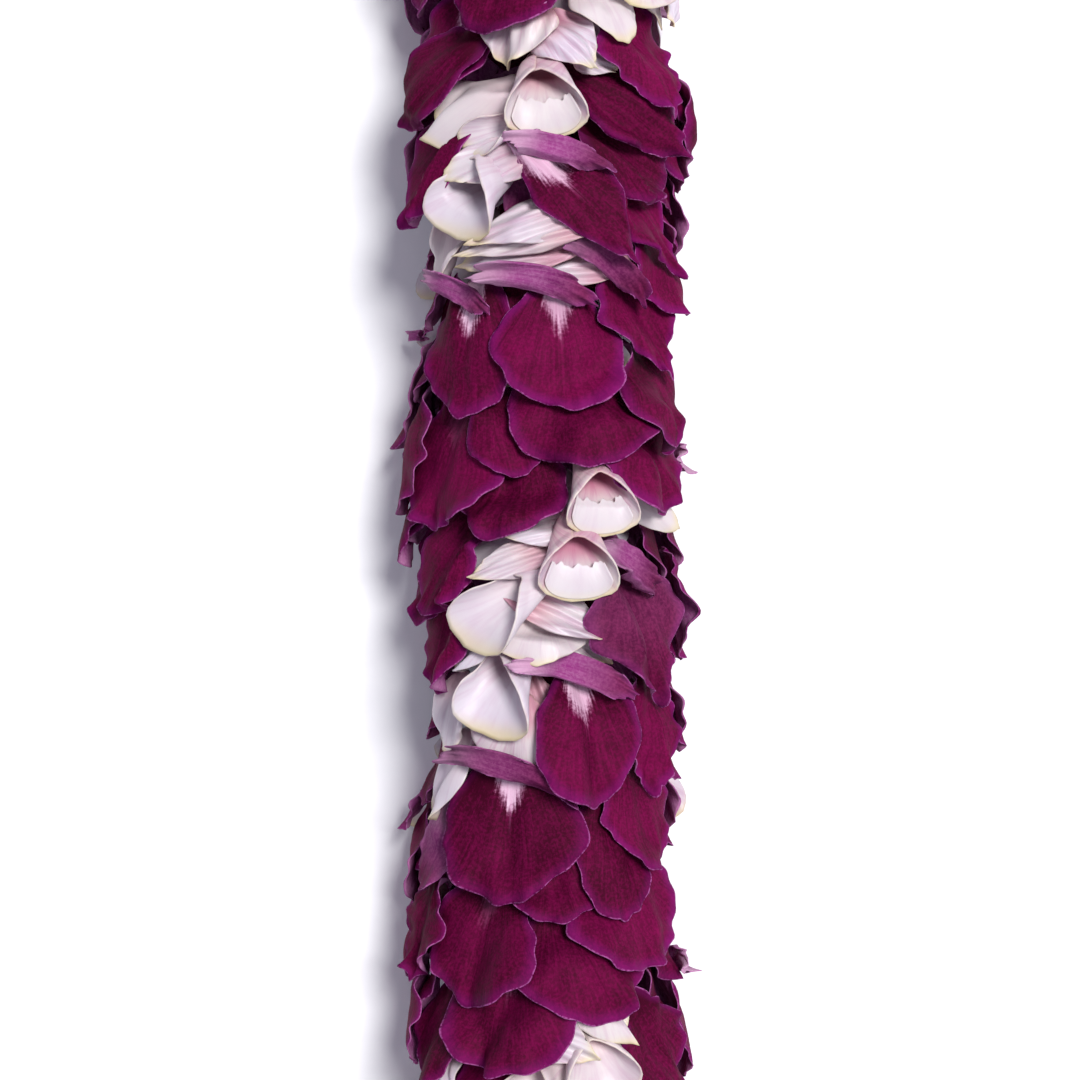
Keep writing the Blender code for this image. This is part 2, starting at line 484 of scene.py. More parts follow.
@dataclass
class Layers:
    """Keeps petals apart, by laying each over those that are already there.

    It remembers how far from the string the petals reach, on a grid of lengths and angles.

    Attributes:
        length: the length of the string.
        cell: the size of the grid's cells.
        columns: the cells round the string.
        gap: the least distance between two petals.
        most: the farthest that a flat petal is moved out.
        most_rolled: the same for a rolled one.
        points_per_spread: how many points along a petal's side call for one more passing on of a need.
    """

    length: float
    cell: float = 1.1 * MM
    columns: int = 160
    gap: float = 0.30 * MM
    most: float = 8.0 * MM
    most_rolled: float = 1.6 * 8.0 * MM
    points_per_spread: int = 9

    @cached_property
    def heights(self) -> Array:
        """How far from the string the petals reach in each cell."""
        return np.zeros((int(self.length / self.cell), self.columns))

    def lay(
        self, along: Array, angle: Array, radius: Array, thickness: float, rolled: bool, must: bool
    ) -> Array | None:
        """Works out how far each point of a petal has to move out, and adds the petal to the grid.

        The need for room is spread by taking the greatest of the neighbours a few times, and is then
        evened out as often, so that it is nowhere too small and the petal stays smooth.

        Args:
            along: the points' places along the string.
            angle: their angles round it.
            radius: their distances from it.
            thickness: the petal's thickness.
            rolled: whether the petal keeps its cross-section, and bends along its length alone.
            must: whether the petal is laid even where there isn't enough room for it.

        Returns:
            The distances to move out, or None where the petal isn't laid.
        """
        rows = np.round(along / self.cell).astype(int) % self.heights.shape[0]
        columns = np.round(angle / math.tau * self.columns).astype(int) % self.columns
        need = np.maximum(self.heights[rows, columns] + self.gap + thickness - radius, 0.0)
        if rolled:
            need = np.broadcast_to(need.max(axis=0), need.shape)
        spread = max(2, need.shape[0] // self.points_per_spread)
        for _ in range(spread):
            need = np.max(self.neighbours(need), axis=0)
        for _ in range(spread):
            need = np.mean(self.neighbours(need), axis=0)
        limit = self.most_rolled if rolled else self.most
        if need.max() > limit and not must:
            return None
        need = np.minimum(need, limit)
        for row in (-1, 0, 1):
            for column in (-1, 0, 1):
                place = ((rows + row) % self.heights.shape[0], (columns + column) % self.columns)
                np.maximum.at(self.heights, place, radius + need)
        return need

    @staticmethod
    def neighbours(values: Array) -> Array:
        """Stacks a grid and the eight grids that are moved by one cell.

        Args:
            values: the grid.

        Returns:
            The nine grids, along the first axis.
        """
        padded = np.pad(values, 1, mode="edge")
        rows, columns = values.shape
        return np.stack([padded[i : i + rows, j : j + columns] for i in range(3) for j in range(3)])


@dataclass
class PetalMaker:
    """Works out petals as surfaces beside the string.

    Attributes:
        path: the string.
        layers: what keeps the petals apart.
        radius: how far from the string the middle of a blade lies.
        anchor: the share of a petal's length that its place is given for.
        soft_height: the height below which petals are pressed flat.
        tries: how large a petal is beside the try before it, until there is room for it.
        claw: how fast the slope of the claw turns into the blade's, as a share of the length.
        point_width: how wide the drawn-out point of a tip is.
        rolled_veins: how far apart the veins of a rolled petal lie, for each radian.
    """

    path: StringPath
    layers: Layers
    radius: float = 26.8 * MM
    anchor: float = 0.55
    soft_height: float = 3.0 * MM
    tries: Triple = (1.0, 0.72, 0.5)
    claw: float = 0.13
    point_width: float = 0.13
    rolled_veins: float = 2.5 * MM

    def outline(self, place: PetalPlace, steps: int) -> dict[str, Array]:
        """Works out a petal laid flat.

        A square grid (p, q) becomes a disc by x = p sqrt(1 - q^2/2), y = q sqrt(1 - p^2/2). The disc is
        then drawn in at the base and the tip, and its edge waves in and out, in long and short waves.

        Args:
            place: the petal.
            steps: the points along each side of its grid.

        Returns:
            For each point, its distance across, half the width there, its share along, its polar angle
            and its share out from the middle.
        """
        form = place.kind.value
        share = np.linspace(-1.0, 1.0, steps)
        p, q = np.meshgrid(share, share, indexing="ij")
        x = p * np.sqrt(1.0 - q * q / 2.0)
        y = q * np.sqrt(1.0 - p * p / 2.0)
        out = np.sqrt(x * x + y * y)
        angle = np.arctan2(x, y)
        phase = place.seed * 2.399
        waves = wavy(LONG_WAVES, angle, phase) * out**2 + wavy(SHORT_WAVES, angle, phase) * out**6
        scale = 1.0 + form.ragged * waves
        along = (y * scale + 1.0) / 2.0
        along = along + form.point * np.exp(-((x / self.point_width) ** 2)) * ease(0.75, 1.0, along)
        girth = form.waist + (1.0 - form.waist) * ease(0.0, 0.55, along)
        girth = girth * (1.0 - form.taper * ease(0.45, 1.0, along))
        half = girth * place.width / 2
        return {
            "across": x * scale * half,
            "half": half,
            "along": along,
            "angle": angle,
            "out": out,
        }

    def rolled(self, place: PetalPlace, flat: dict[str, Array]) -> tuple[Array, Array]:
        """Rolls up a flat petal's cross-sections.

        Each half is an arc: a flat distance w that turns by an angle t ends at w sin(t) / t across and
        w (1 - cos(t)) / t above. The waves of the edge, the groove and the pleats are added above.

        Args:
            place: the petal.
            flat: its outline, laid flat.

        Returns:
            The points' distances across and above the petal's middle line.
        """
        form = place.kind.value
        phase = place.seed * 1.7
        left = np.radians(through(form.left, flat["along"]))
        right = np.radians(through(form.right, flat["along"]))
        full = np.where(flat["across"] < 0, left, right)
        share = np.abs(flat["across"]) / flat["half"]
        turn = full * share
        x = flat["across"] * np.sinc(turn / math.pi)
        z = np.abs(flat["across"]) * np.sin(turn / 2) * np.sinc(turn / math.tau)
        rim = flat["out"] ** 3
        angle = flat["angle"]
        waves = np.sin(form.waves * angle + phase) + 0.45 * np.sin((2 * form.waves + 1) * angle + 2 * phase)
        waves = waves + 0.22 * np.sin((4 * form.waves - 1) * angle + 3 * phase) * flat["out"] ** 3
        swell = np.sin(4.1 * flat["along"] + phase) * np.cos(2.6 * share + 2 * phase)
        z = z + place.width * form.ruffle * (waves * rim + swell * 0.5)
        groove = np.exp(-((flat["across"] / (0.08 * place.width)) ** 2))
        z = z - place.width * form.crease * groove * ease(0.0, 0.2, flat["along"]) * (1 - rim)
        folds = np.sin(math.tau * form.pleats * flat["across"] / place.width + phase)
        z = z + place.width * form.pleat_height * folds * (1 - 0.6 * flat["along"])
        x = x - form.bend * place.length * (flat["along"] - 0.45) ** 2
        spin = np.radians(place.spin + place.twist * (flat["along"] - 0.5))
        return x * np.cos(spin) + z * np.sin(spin), z * np.cos(spin) - x * np.sin(spin)

    def cone(self, place: PetalPlace, steps: int) -> tuple[dict[str, Array], Array, Array]:
        """Works out a petal rolled into a cone, which widens at its rim.

        Past a quarter turn the right side spirals in, which lets it lie inside the left one.

        Args:
            place: the petal.
            steps: the points along each side of its grid.

        Returns:
            The grid, and the points' distances across and above the cone's lowest line.
        """
        form = place.kind.value
        phase = place.seed * 1.7
        share = np.linspace(0.0, 1.0, steps)
        p, out = np.meshgrid(share, share, indexing="ij")
        angle = np.radians(form.left + (form.right - form.left) * p)
        notches = wavy(RIM_NOTCHES, angle, phase) * np.sin(math.pi * p) ** 0.3
        along = out * (form.rim(angle) + form.ragged * notches)
        radius = form.radius(place.width, along)
        radius = radius * (1.0 + form.flare * ease(0.72, 1.0, out)) * (1.0 - 0.10 * ease(0.7, 1.2, along))
        radius = radius * (1.0 - 0.20 * ease(math.pi / 2, 1.25 * math.pi, angle))
        radius = radius * (1.0 + 0.03 * out * np.sin(3 * angle + 4 * out + phase))
        turned = angle + math.radians(place.spin)
        edge = np.minimum(1.0 - out, 2.4 * np.minimum(p, 1.0 - p))
        flat = {"across": angle * self.rolled_veins, "along": along, "out": 1.0 - edge}
        return flat, radius * np.sin(turned), form.flatness * radius * (1.0 - np.cos(turned))

    def tongue(self, place: PetalPlace, steps: int) -> tuple[dict[str, Array], Array, Array]:
        """Works out the tongue in a trumpet's mouth.

        From the rim it goes back into the mouth, and rises towards the trumpet's middle with the 1.3rd
        power of the share of its length. Its free edge is notched.

        Args:
            place: the tongue, with the place and size of its trumpet.
            steps: the points along each side of its grid.

        Returns:
            The grid, and the points' distances across and above the trumpet's lowest line.
        """
        form = place.kind.value
        phase = place.seed * 1.7
        share = np.linspace(0.0, 1.0, steps)
        p, q = np.meshgrid(share, share, indexing="ij")
        angle = np.radians(form.left + (form.right - form.left) * p)
        notches = wavy(TONGUE_NOTCHES, angle, phase)
        back = (1.0 - q) * (1.0 + form.ragged * notches - 0.35 * (2.0 * p - 1.0) ** 2)
        along = 0.98 * form.rim(angle) - 0.32 * back
        reach = 0.97 - 0.18 * back
        inside = 0.95 - 0.60 * back**1.3
        radius = form.radius(place.width, along)
        flat = {"across": angle * self.rolled_veins, "along": along, "out": 1.0 - np.minimum(q, 1.0 - q)}
        return flat, radius * reach * np.sin(angle), form.flatness * radius * (1.0 - inside * np.cos(angle))

    def spine(self, place: PetalPlace, along: Array) -> tuple[Array, Array, Array]:
        """Works out the petal's middle line.

        The slope falls from the claw's to the blade's as exp(-share / claw), and goes on to the tip's
        with the cube of the share. Its cosine and sine are added up along the line.

        Args:
            place: the petal.
            along: shares of its length.

        Returns:
            How far forward and outward the line is at each share, and its slope there.
        """
        claw, blade, tip = np.radians(place.kind.value.slopes)
        share = np.linspace(-0.05, 1.15, 100)
        slope = blade + (claw - blade) * np.exp(-np.maximum(share, 0) / self.claw)
        slope = slope + (tip - blade) * np.maximum(share, 0) ** 3
        step = (share[1] - share[0]) * place.length
        forward = np.cumsum(np.cos(slope)) * step
        outward = np.cumsum(np.sin(slope)) * step
        forward = forward - np.interp(self.anchor, share, forward)
        outward = outward - np.interp(self.anchor, share, outward)
        return (
            np.interp(along, share, forward),
            np.interp(along, share, outward),
            np.interp(along, share, slope),
        )

    def sheets(self, place: PetalPlace, steps: int) -> list[Sheet]:
        """Lays one petal over those before it, made smaller where there is no room for it.

        Args:
            place: the petal.
            steps: the points along each side of its grid.

        Returns:
            The petal, and its tongue where it has one, or nothing where it couldn't be laid.
        """
        form = place.kind.value
        rolled = isinstance(form, ConeForm)
        for size in self.tries:
            place = replace(place, length=size * place.length, width=size * place.width)
            flat, along, angle, radius = self.surface(place, steps)
            lift = self.layers.lay(along, angle, radius, form.thickness, rolled, place.by_hand)
            if lift is not None:
                break
        else:
            return []
        made = [self.sheet(place, flat, along, angle, radius + lift)]
        if place.lip:
            lip = replace(place, kind=Kind.LIP, flush=0.1, cream=0.25, seed=place.seed + 3)
            lowest = round(-form.left / (form.right - form.left) * (steps - 1))
            inner, along, angle, radius = self.surface(lip, steps)
            lift = np.interp(inner["along"], flat["along"][lowest], lift[lowest])
            made.append(self.sheet(lip, inner, along, angle, radius + lift))
        return made

    def surface(self, place: PetalPlace, steps: int) -> tuple[dict[str, Array], Array, Array, Array]:
        """Works out one petal's surface, as if no other petal were there.

        Args:
            place: the petal.
            steps: the points along each side of its grid.

        Returns:
            Its flat outline, and its points' places along the string, angles round it and distances
            from it.
        """
        form = place.kind.value
        if isinstance(form, ConeForm):
            flat, x, z = (self.tongue if form.is_tongue else self.cone)(place, steps)
        else:
            flat = self.outline(place, steps)
            x, z = self.rolled(place, flat)
        forward, outward, slope = self.spine(place, flat["along"])
        forward = forward - z * np.sin(slope)
        outward = outward + z * np.cos(slope)
        turn = math.radians(place.turn)
        along = place.along + forward * math.cos(turn) - x * math.sin(turn)
        sideways = forward * math.sin(turn) + x * math.cos(turn)
        radius = self.radius - form.depth + place.lift + outward
        around = math.radians(place.around)
        level = radius * math.cos(around) + sideways * math.sin(around)
        upward = radius * math.sin(around) - sideways * math.cos(around)
        return flat, along, np.arctan2(upward, level), np.hypot(upward, level)

    def sheet(
        self, place: PetalPlace, flat: dict[str, Array], along: Array, angle: Array, radius: Array
    ) -> Sheet:
        """Makes a petal's surface a closed thin sheet with its marks.

        Args:
            place: the petal.
            flat: its outline.
            along: its points' places along the string.
            angle: their angles round it.
            radius: their distances from it.

        Returns:
            The sheet, which is thinner towards its edge.
        """
        thickness = place.kind.value.thickness * (1.0 - 0.55 * flat["out"] ** 6)
        upper = self.path.points(along, radius * np.cos(angle), radius * np.sin(angle))
        points = rest_on_surface(thicken(upper, thickness), self.soft_height)
        vein = np.arctan2(flat["across"], (flat["along"] + 0.12) * place.length)
        marks = np.stack([vein, flat["along"], 1.0 - flat["out"]], axis=-1).reshape(-1, 3)
        count = len(marks)
        tone = 0.5 + 0.5 * math.sin(place.seed * 12.9898)
        nature = np.tile([tone, place.seed * 0.173, 0.0], (2 * count, 1))
        nature[count:, 2] = 1.0
        return Sheet(
            len(upper),
            points,
            np.concatenate([marks, marks]),
            nature,
            np.tile([place.blaze, place.cream, place.flush], (2 * count, 1)),
        )


@dataclass(frozen=True)
class FlowerBases:
    """The joined flower bases of one layer: a funnel with a scalloped edge that opens from the string.

    Attributes:
        path: the string.
        soft_height: the height below which they are pressed flat.
        inner_radius: their radius at the string.
        reach: how much wider the funnel is at its edge.
        depth: how far along the string it goes.
        scallop: how much farther each scallop goes.
        scallop_width: how far round the string a scallop goes, in degrees.
        bulge: how far a scallop stands out, as a share of the reach.
        thickness: their thickness.
        tone: their shade between deep and bright.
    """

    path: StringPath
    soft_height: float
    inner_radius: float = 1.3 * MM
    reach: float = 16.5 * MM
    depth: float = 15.0 * MM
    scallop: float = 3.0 * MM
    scallop_width: float = 40.0
    bulge: float = 0.06
    thickness: float = 0.35 * MM
    tone: float = 0.15

    def sheet(self, hub: float, centre: float, width: float, seed: int, steps: int) -> Sheet:
        """Works out the funnel, whose width grows with the 0.8th power of the share of its length.

        Args:
            hub: where along the string it starts.
            centre: the angle of its middle, in degrees.
            width: how far round the string it goes, in degrees.
            seed: the number that its irregularities come from.
            steps: the points along each side of its grid.

        Returns:
            The funnel as a closed thin sheet.
        """
        share = np.linspace(0.0, 1.0, steps)
        p, q = np.meshgrid(share, share, indexing="ij")
        angle = np.radians(centre + width * (0.5 - p))
        lobes = np.abs(np.sin(math.pi * p * width / self.scallop_width + seed)) * q**2
        radius = self.inner_radius + self.reach * q**0.8 * (1.0 + self.bulge * lobes)
        along = hub + self.depth * q + self.scallop * lobes
        upper = self.path.points(along, radius * np.cos(angle), radius * np.sin(angle))
        points = rest_on_surface(thicken(upper, np.full_like(p, self.thickness)), self.soft_height)
        marks = np.stack([(p - 0.5) * 3.0, q * 0.6, 0.5 + 0 * q], axis=-1).reshape(-1, 3)
        nature = np.tile([self.tone, seed * 0.31, 0.0], (2 * steps**2, 1))
        return Sheet(steps, points, np.concatenate([marks, marks]), nature, np.zeros_like(nature))


def mesh_object(name: str, sheets: list[Sheet], material: bpy.types.Material) -> bpy.types.Object:
    """Joins thin closed sheets in one object, with their marks and a flat layout.

    Args:
        name: the object's name.
        sheets: the pieces to join.
        material: the finish of them all.

    Returns:
        The object, at the origin.
    """
    columns = max(1, math.ceil(math.sqrt(len(sheets) / 2)))
    rows = math.ceil(len(sheets) / columns)
    faces, places, start = [], [], 0
    for number, sheet in enumerate(sheets):
        shell = shell_of(sheet.steps)
        faces.append(shell.faces + start)
        corner = np.array([2 * (number % columns), number // columns])
        places.append((shell.flat_places + corner) / [2 * columns, rows])
        start += len(sheet.points)
    mesh = bpy.data.meshes.new(name)
    mesh.from_pydata(np.concatenate([sheet.points for sheet in sheets]), [], np.concatenate(faces))
    layers = {
        "petal_place": [sheet.place for sheet in sheets],
        "petal_nature": [sheet.nature for sheet in sheets],
        "petal_marks": [sheet.marks for sheet in sheets],
    }
    for label, values in layers.items():
        layer = mesh.attributes.new(label, "FLOAT_VECTOR", "POINT")
        layer.data.foreach_set("vector", np.concatenate(values).astype(np.float32).ravel())
    flat = mesh.uv_layers.new(name="OFBake")
    flat.data.foreach_set("uv", np.concatenate(places).astype(np.float32).ravel())
    mesh.materials.append(material)
    mesh.shade_smooth()
    obj = bpy.data.objects.new(name, mesh)
    bpy.context.scene.collection.objects.link(obj)
    return obj


@dataclass(frozen=True)
class Signal:
    """A socket of a material's nodes, which Python's operators work on as a number.

    Attributes:
        paint: the material's nodes.
        socket: the socket.
    """

    paint: "Paint"
    socket: bpy.types.NodeSocket

    def math(self, operation: str, *values: "Signal | float") -> "Signal":
        """Returns a Math node's result on some values."""
        return self.paint.node("ShaderNodeMath", {"operation": operation}, dict(enumerate(values)))

    def __add__(self, other: "Signal | float") -> "Signal":
        """Returns the sum."""
        return self.math("ADD", self, other)

    def __sub__(self, other: "Signal | float") -> "Signal":
        """Returns the difference."""
        return self.math("SUBTRACT", self, other)

    def __rsub__(self, other: float) -> "Signal":
        """Returns a number less this one."""
        return self.math("SUBTRACT", other, self)

    def __mul__(self, other: "Signal | float") -> "Signal":
        """Returns the product."""
        return self.math("MULTIPLY", self, other)

    def __abs__(self) -> "Signal":
        """Returns the size without the sign."""
        return self.math("ABSOLUTE", self)

    __radd__ = __add__
    __rmul__ = __mul__

    def eased(self, low: float, high: float) -> "Signal":
        """Rises smoothly from 0 to 1 between two values, or falls where the first is the higher one.

        Args:
            low: the value where the result is 0.
            high: the value where it is 1.

        Returns:
            The result.
        """
        settings = {"interpolation_type": "SMOOTHSTEP"}
        if low < high:
            return self.paint.node("ShaderNodeMapRange", settings, {0: self, 1: low, 2: high})
        return 1.0 - self.paint.node("ShaderNodeMapRange", settings, {0: self, 1: high, 2: low})


class Paint:
    """The nodes of one material, and the few calls that add to them."""

    def __init__(self, name: str) -> None:
        """Makes the material.

        Args:
            name: the material's name.
        """
        self.material = bpy.data.materials.new(name)
        self.material.use_nodes = True
        self.tree = self.material.node_tree
        self.shader = self.tree.nodes["Principled BSDF"]

    def node(
        self,
        kind: str,
        settings: dict[str, object] | None = None,
        sockets: dict[int | str, object] | None = None,
        output: int | str = 0,
    ) -> Signal:
        """Adds a node.

        Args:
            kind: the node's type.
            settings: its own settings, which are set first.
            sockets: values or links for its inputs, by number or name.
            output: the output to return, by number or name.

        Returns:
            That output.
        """
        made = self.tree.nodes.new(kind)
        for label, value in (settings or {}).items():
            setattr(made, label, value)
        for label, value in (sockets or {}).items():
            self.put(made.inputs[label], value)
        return Signal(self, made.outputs[output])

    def put(self, socket: bpy.types.NodeSocket, value: object) -> None:
        """Links a signal to an input, or sets the input's value.

        Args:
            socket: the input.
            value: the signal or the value.
        """
        if isinstance(value, Signal):
            self.tree.links.new(value.socket, socket)
        else:
            socket.default_value = value

    def attribute(self, name: str) -> tuple[Signal, Signal, Signal]:
        """Reads one of the mesh's own layers.

        Args:
            name: the layer's name.

        Returns:
            Its three numbers.
        """
        whole = self.node("ShaderNodeAttribute", {"attribute_name": name}, output="Vector")
        parts = self.node("ShaderNodeSeparateXYZ", sockets={0: whole}).socket.node
        return tuple(Signal(self, output) for output in parts.outputs)

    def vector(self, x: Signal | float, y: Signal | float, z: Signal | float) -> Signal:
        """Returns a vector made of three numbers."""
        return self.node("ShaderNodeCombineXYZ", sockets={0: x, 1: y, 2: z})

    def noise(self, place: Signal, scale: float, detail: float = 2.0, rough: float = 0.5) -> Signal:
        """Returns a cloudy number between 0 and 1, mostly near 0.5."""
        sockets = {"Vector": place, "Scale": scale, "Detail": detail, "Roughness": rough}
        return self.node("ShaderNodeTexNoise", sockets=sockets, output="Fac")

    def blend(self, share: Signal | float, first: object, second: object) -> Signal:
        """Returns a colour between two, as far towards the second as the share says."""
        settings = {"data_type": "RGBA", "clamp_factor": True}
        return self.node("ShaderNodeMix", settings, {0: share, 6: first, 7: second}, output=2)

    def here(self) -> Signal:
        """Returns the place on the object, in metres."""
        return self.node("ShaderNodeTexCoord", output="Object")

    def bump(self, height: Signal, strength: float, distance: float) -> Signal:
        """Returns a surface normal that follows a height."""
        sockets = {"Height": height, "Strength": strength, "Distance": distance}
        return self.node("ShaderNodeBump", sockets=sockets)

    def finish(self, **sockets: object) -> bpy.types.Material:
        """Sets the shader's inputs.

        Args:
            sockets: the values or links by the inputs' names, with an underscore for each space.

        Returns:
            The finished material.
        """
        for label, value in sockets.items():
            self.put(self.shader.inputs[label.replace("_", " ")], value)
        return self.material


@dataclass(frozen=True)
class WineFinish:
    """A wine-red petal: velvety and veined, magenta at the edge, with a pale blaze and a lilac back.

    Attributes:
        deep: its darkest red.
        bright: its brightest red.
        magenta: the outer part of its face.
        rim: its thin pale rim, partly the edge's own paler colour and partly a painted highlight.
        blaze: the pale mark at its base.
        blaze_deep: the mark's thin parts.
        back: its lilac back.
        back_pale: the paler parts of the back.
        velvet_scale: how fine its velvet is.
        cloud_scale: how fine its soft patches are.
        blaze_end: how far the mark reaches, as a share of the length.
        blaze_spread: how fast the mark widens towards the base.
        relief: how high its velvet and veins stand.
    """

    deep: Colour = (0.050, 0.0010, 0.013, 1.0)
    bright: Colour = (0.190, 0.0030, 0.060, 1.0)
    magenta: Colour = (0.210, 0.0080, 0.140, 1.0)
    rim: Colour = (0.420, 0.110, 0.330, 1.0)
    blaze: Colour = (0.800, 0.560, 0.690, 1.0)
    blaze_deep: Colour = (0.480, 0.120, 0.290, 1.0)
    back: Colour = (0.270, 0.028, 0.185, 1.0)
    back_pale: Colour = (0.500, 0.210, 0.400, 1.0)
    velvet_scale: float = 1500.0
    cloud_scale: float = 130.0
    blaze_end: float = 0.47
    blaze_spread: float = 1.15
    relief: float = 0.4 * MM

    def make(self) -> bpy.types.Material:
        """Makes the material: first the face with its painted shade towards the base, then the blaze on it,
        the back and the rim, which is partly a painted highlight.

        Returns:
            The material.
        """
        paint = Paint("wine_petal")
        vein, along, edge = paint.attribute("petal_place")
        tone, seed, under = paint.attribute("petal_nature")
        blaze, _, flush = paint.attribute("petal_marks")
        here = paint.here()
        fan = paint.vector(vein * 17.0, along * 1.3, seed)
        streaks = paint.noise(fan, 1.6, 4.0, 0.62)
        fine = paint.noise(paint.vector(vein * 60.0, along * 3.5, seed), 1.0)
        velvet = paint.noise(here, self.velvet_scale, 2.0, 0.6)
        clouds = paint.noise(here, self.cloud_scale)
        lit = streaks.eased(0.36, 0.68) * 0.30 + fine.eased(0.35, 0.7) * 0.20
        lit = lit + velvet.eased(0.40, 0.64) * 0.40 + clouds.eased(0.3, 0.7) * 0.25
        # Painted shade: the face darkens towards its base, where the petals laid over it shade it.
        shade = along.eased(0.50, 0.08) * 0.45
        face = paint.blend(lit * 0.8 + tone * 0.34 - 0.16 - shade, self.deep, self.bright)
        outer = edge.eased(0.22, 0.0) * (clouds * 0.8 + 0.4) * (streaks * 0.5 + 0.6)
        face = paint.blend(outer * (tone * 0.5 + 0.45), face, self.magenta)
        ragged = (streaks - 0.5) * 0.34 + (clouds - 0.5) * 0.30 + (velvet - 0.5) * 0.16
        fan_width = (self.blaze_end - along) * self.blaze_spread - abs(vein)
        mark = (fan_width + ragged).eased(-0.04, 0.14) * along.eased(0.54, 0.42) * blaze
        line = (vein * vein).eased(0.0008, 0.0) * along.eased(0.6, 0.3) * fine.eased(0.45, 0.6) * blaze
        pale = paint.blend(mark * (streaks * 0.8 + 0.4), self.blaze_deep, self.blaze)
        face = paint.blend(mark + line * 0.4, face, pale)
        reverse = paint.blend(lit * 0.6 + edge.eased(0.3, 0.0) * 0.5, self.back, self.back_pale)
        reverse = paint.blend(flush * along.eased(0.42, 0.06) * 0.6, reverse, self.blaze)
        shown = under + flush * (1.0 - along.eased(0.45, 0.95) * 0.85)
        colour = paint.blend(shown, face, reverse)
        # The thin pale rim, flecked by the velvet: partly the edge's own paler colour and partly a painted
        # highlight where light catches the edge.
        rim = edge.eased(0.022, 0.004) * velvet.eased(0.35, 0.6) * 0.8
        colour = paint.blend(rim, colour, self.rim)
        height = streaks * 0.5 + fine * 0.35 + velvet * 0.5
        return paint.finish(
            Base_Color=colour,
            Roughness=0.55 + velvet * 0.25,
            Normal=paint.bump(height, 0.45, self.relief),
            Specular_IOR_Level=0.05,
        )


@dataclass(frozen=True)
class WhiteFinish:
    """A white petal: waxy, with faint veins, pink in its folds and mouth, partly its own pink and partly
    painted shade, and cream at its tip.

    Attributes:
        white: its coolest white.
        warm: its warmest white.
        lilac: its veins and soft patches.
        pink: the deepest part of its mouth or fold, partly its own pink and partly painted shade, and its
            pink streaks.
        salmon: the part before that, partly its own salmon and partly painted shade.
        cream: its tip and its thin border.
        cloud_scale: how fine its soft patches are.
        grain_scale: how fine its grain is.
        relief: how high its veins and grain stand.
    """

    white: Colour = (0.645, 0.580, 0.640, 1.0)
    warm: Colour = (0.660, 0.580, 0.555, 1.0)
    lilac: Colour = (0.500, 0.360, 0.480, 1.0)
    pink: Colour = (0.460, 0.120, 0.230, 1.0)
    salmon: Colour = (0.680, 0.450, 0.410, 1.0)
    cream: Colour = (0.700, 0.580, 0.270, 1.0)
    cloud_scale: float = 110.0
    grain_scale: float = 1300.0
    relief: float = 0.35 * MM

    def make(self) -> bpy.types.Material:
        """Makes the material: the white and its veins, then the folds and mouth with their painted shade,
        the tip and the border.

        Returns:
            The material.
        """
        paint = Paint("white_petal")
        vein, along, edge = paint.attribute("petal_place")
        tone, seed, under = paint.attribute("petal_nature")
        _, cream, flush = paint.attribute("petal_marks")
        here = paint.here()
        streaks = paint.noise(paint.vector(vein * 14.0, along * 1.1, seed), 1.5, 3.0, 0.6)
        clouds = paint.noise(here, self.cloud_scale)
        grain = paint.noise(here, self.grain_scale)
        shade = streaks.eased(0.4, 0.75) * 0.5 + clouds.eased(0.4, 0.7) * 0.45
        base = paint.blend(tone * 0.8, self.white, self.warm)
        colour = paint.blend(shade * (flush * 0.6 + 0.3), base, self.lilac)
        # Salmon towards the base, less on the lower side: partly the throat's own salmon and partly painted
        # shade deep in the mouth and folds.
        deep = along.eased(0.66, 0.26) * (1.0 - under * 0.6) * (flush * 0.8 + 0.2)
        colour = paint.blend(deep * (0.4 + tone * 0.3), colour, self.salmon)
        # Deep pink at the very base, less on the lower side: partly the throat's own pink and partly painted
        # shade at the bottom of a mouth and behind a tongue.
        inner = (along - flush * 0.18).eased(0.42, 0.10) * (1.0 - under * 0.6) * (flush * 0.7 + 0.3)
        colour = paint.blend(inner * 0.6, colour, self.pink)
        colour = paint.blend(flush * streaks.eased(0.45, 0.66) * 0.20, colour, self.pink)
        tip = along.eased(0.78, 0.98) * edge.eased(0.30, 0.03) * (clouds * 0.9 + 0.45)
        border = edge.eased(0.05, 0.01) * 0.3
        colour = paint.blend((tip + border) * cream, colour, self.cream)
        height = streaks * 0.7 + grain * 0.15
        return paint.finish(
            Base_Color=colour,
            Roughness=0.34 + grain * 0.16,
            Normal=paint.bump(height, 0.22, self.relief),
            Subsurface_Weight=0.12,
            Subsurface_Radius=(1.0, 0.6, 0.7),
            Subsurface_Scale=1.5 * MM,
            Specular_IOR_Level=0.38,
        )


@dataclass(frozen=True)
class StringFinish:
    """Undyed cotton string, with fibres that follow its twist.

    Attributes:
        light: the tops of its strands.
        dark: the groove between them, where painted shade darkens the string, and its darker fibres.
        relief: how high its fibres stand.
    """

    light: Colour = (0.74, 0.71, 0.63, 1.0)
    dark: Colour = (0.42, 0.38, 0.31, 1.0)
    relief: float = 0.2 * MM

    def make(self) -> bpy.types.Material:
        """Makes the material.

        Returns:
            The material.
        """
        paint = Paint("thread")
        around, along, rise = paint.attribute("petal_place")
        fibres = paint.noise(paint.vector(around * 9.0, along * 40.0, 0.0), 1.0, 3.0)
        # Painted shade: the string is darker in the groove between its strands, mixed with the fibres' own
        # lighter and darker parts.
        colour = paint.blend(rise * 0.6 + fibres * 0.5, self.dark, self.light)
        return paint.finish(
            Base_Color=colour, Roughness=0.82, Normal=paint.bump(fibres, 0.4, self.relief)
        )


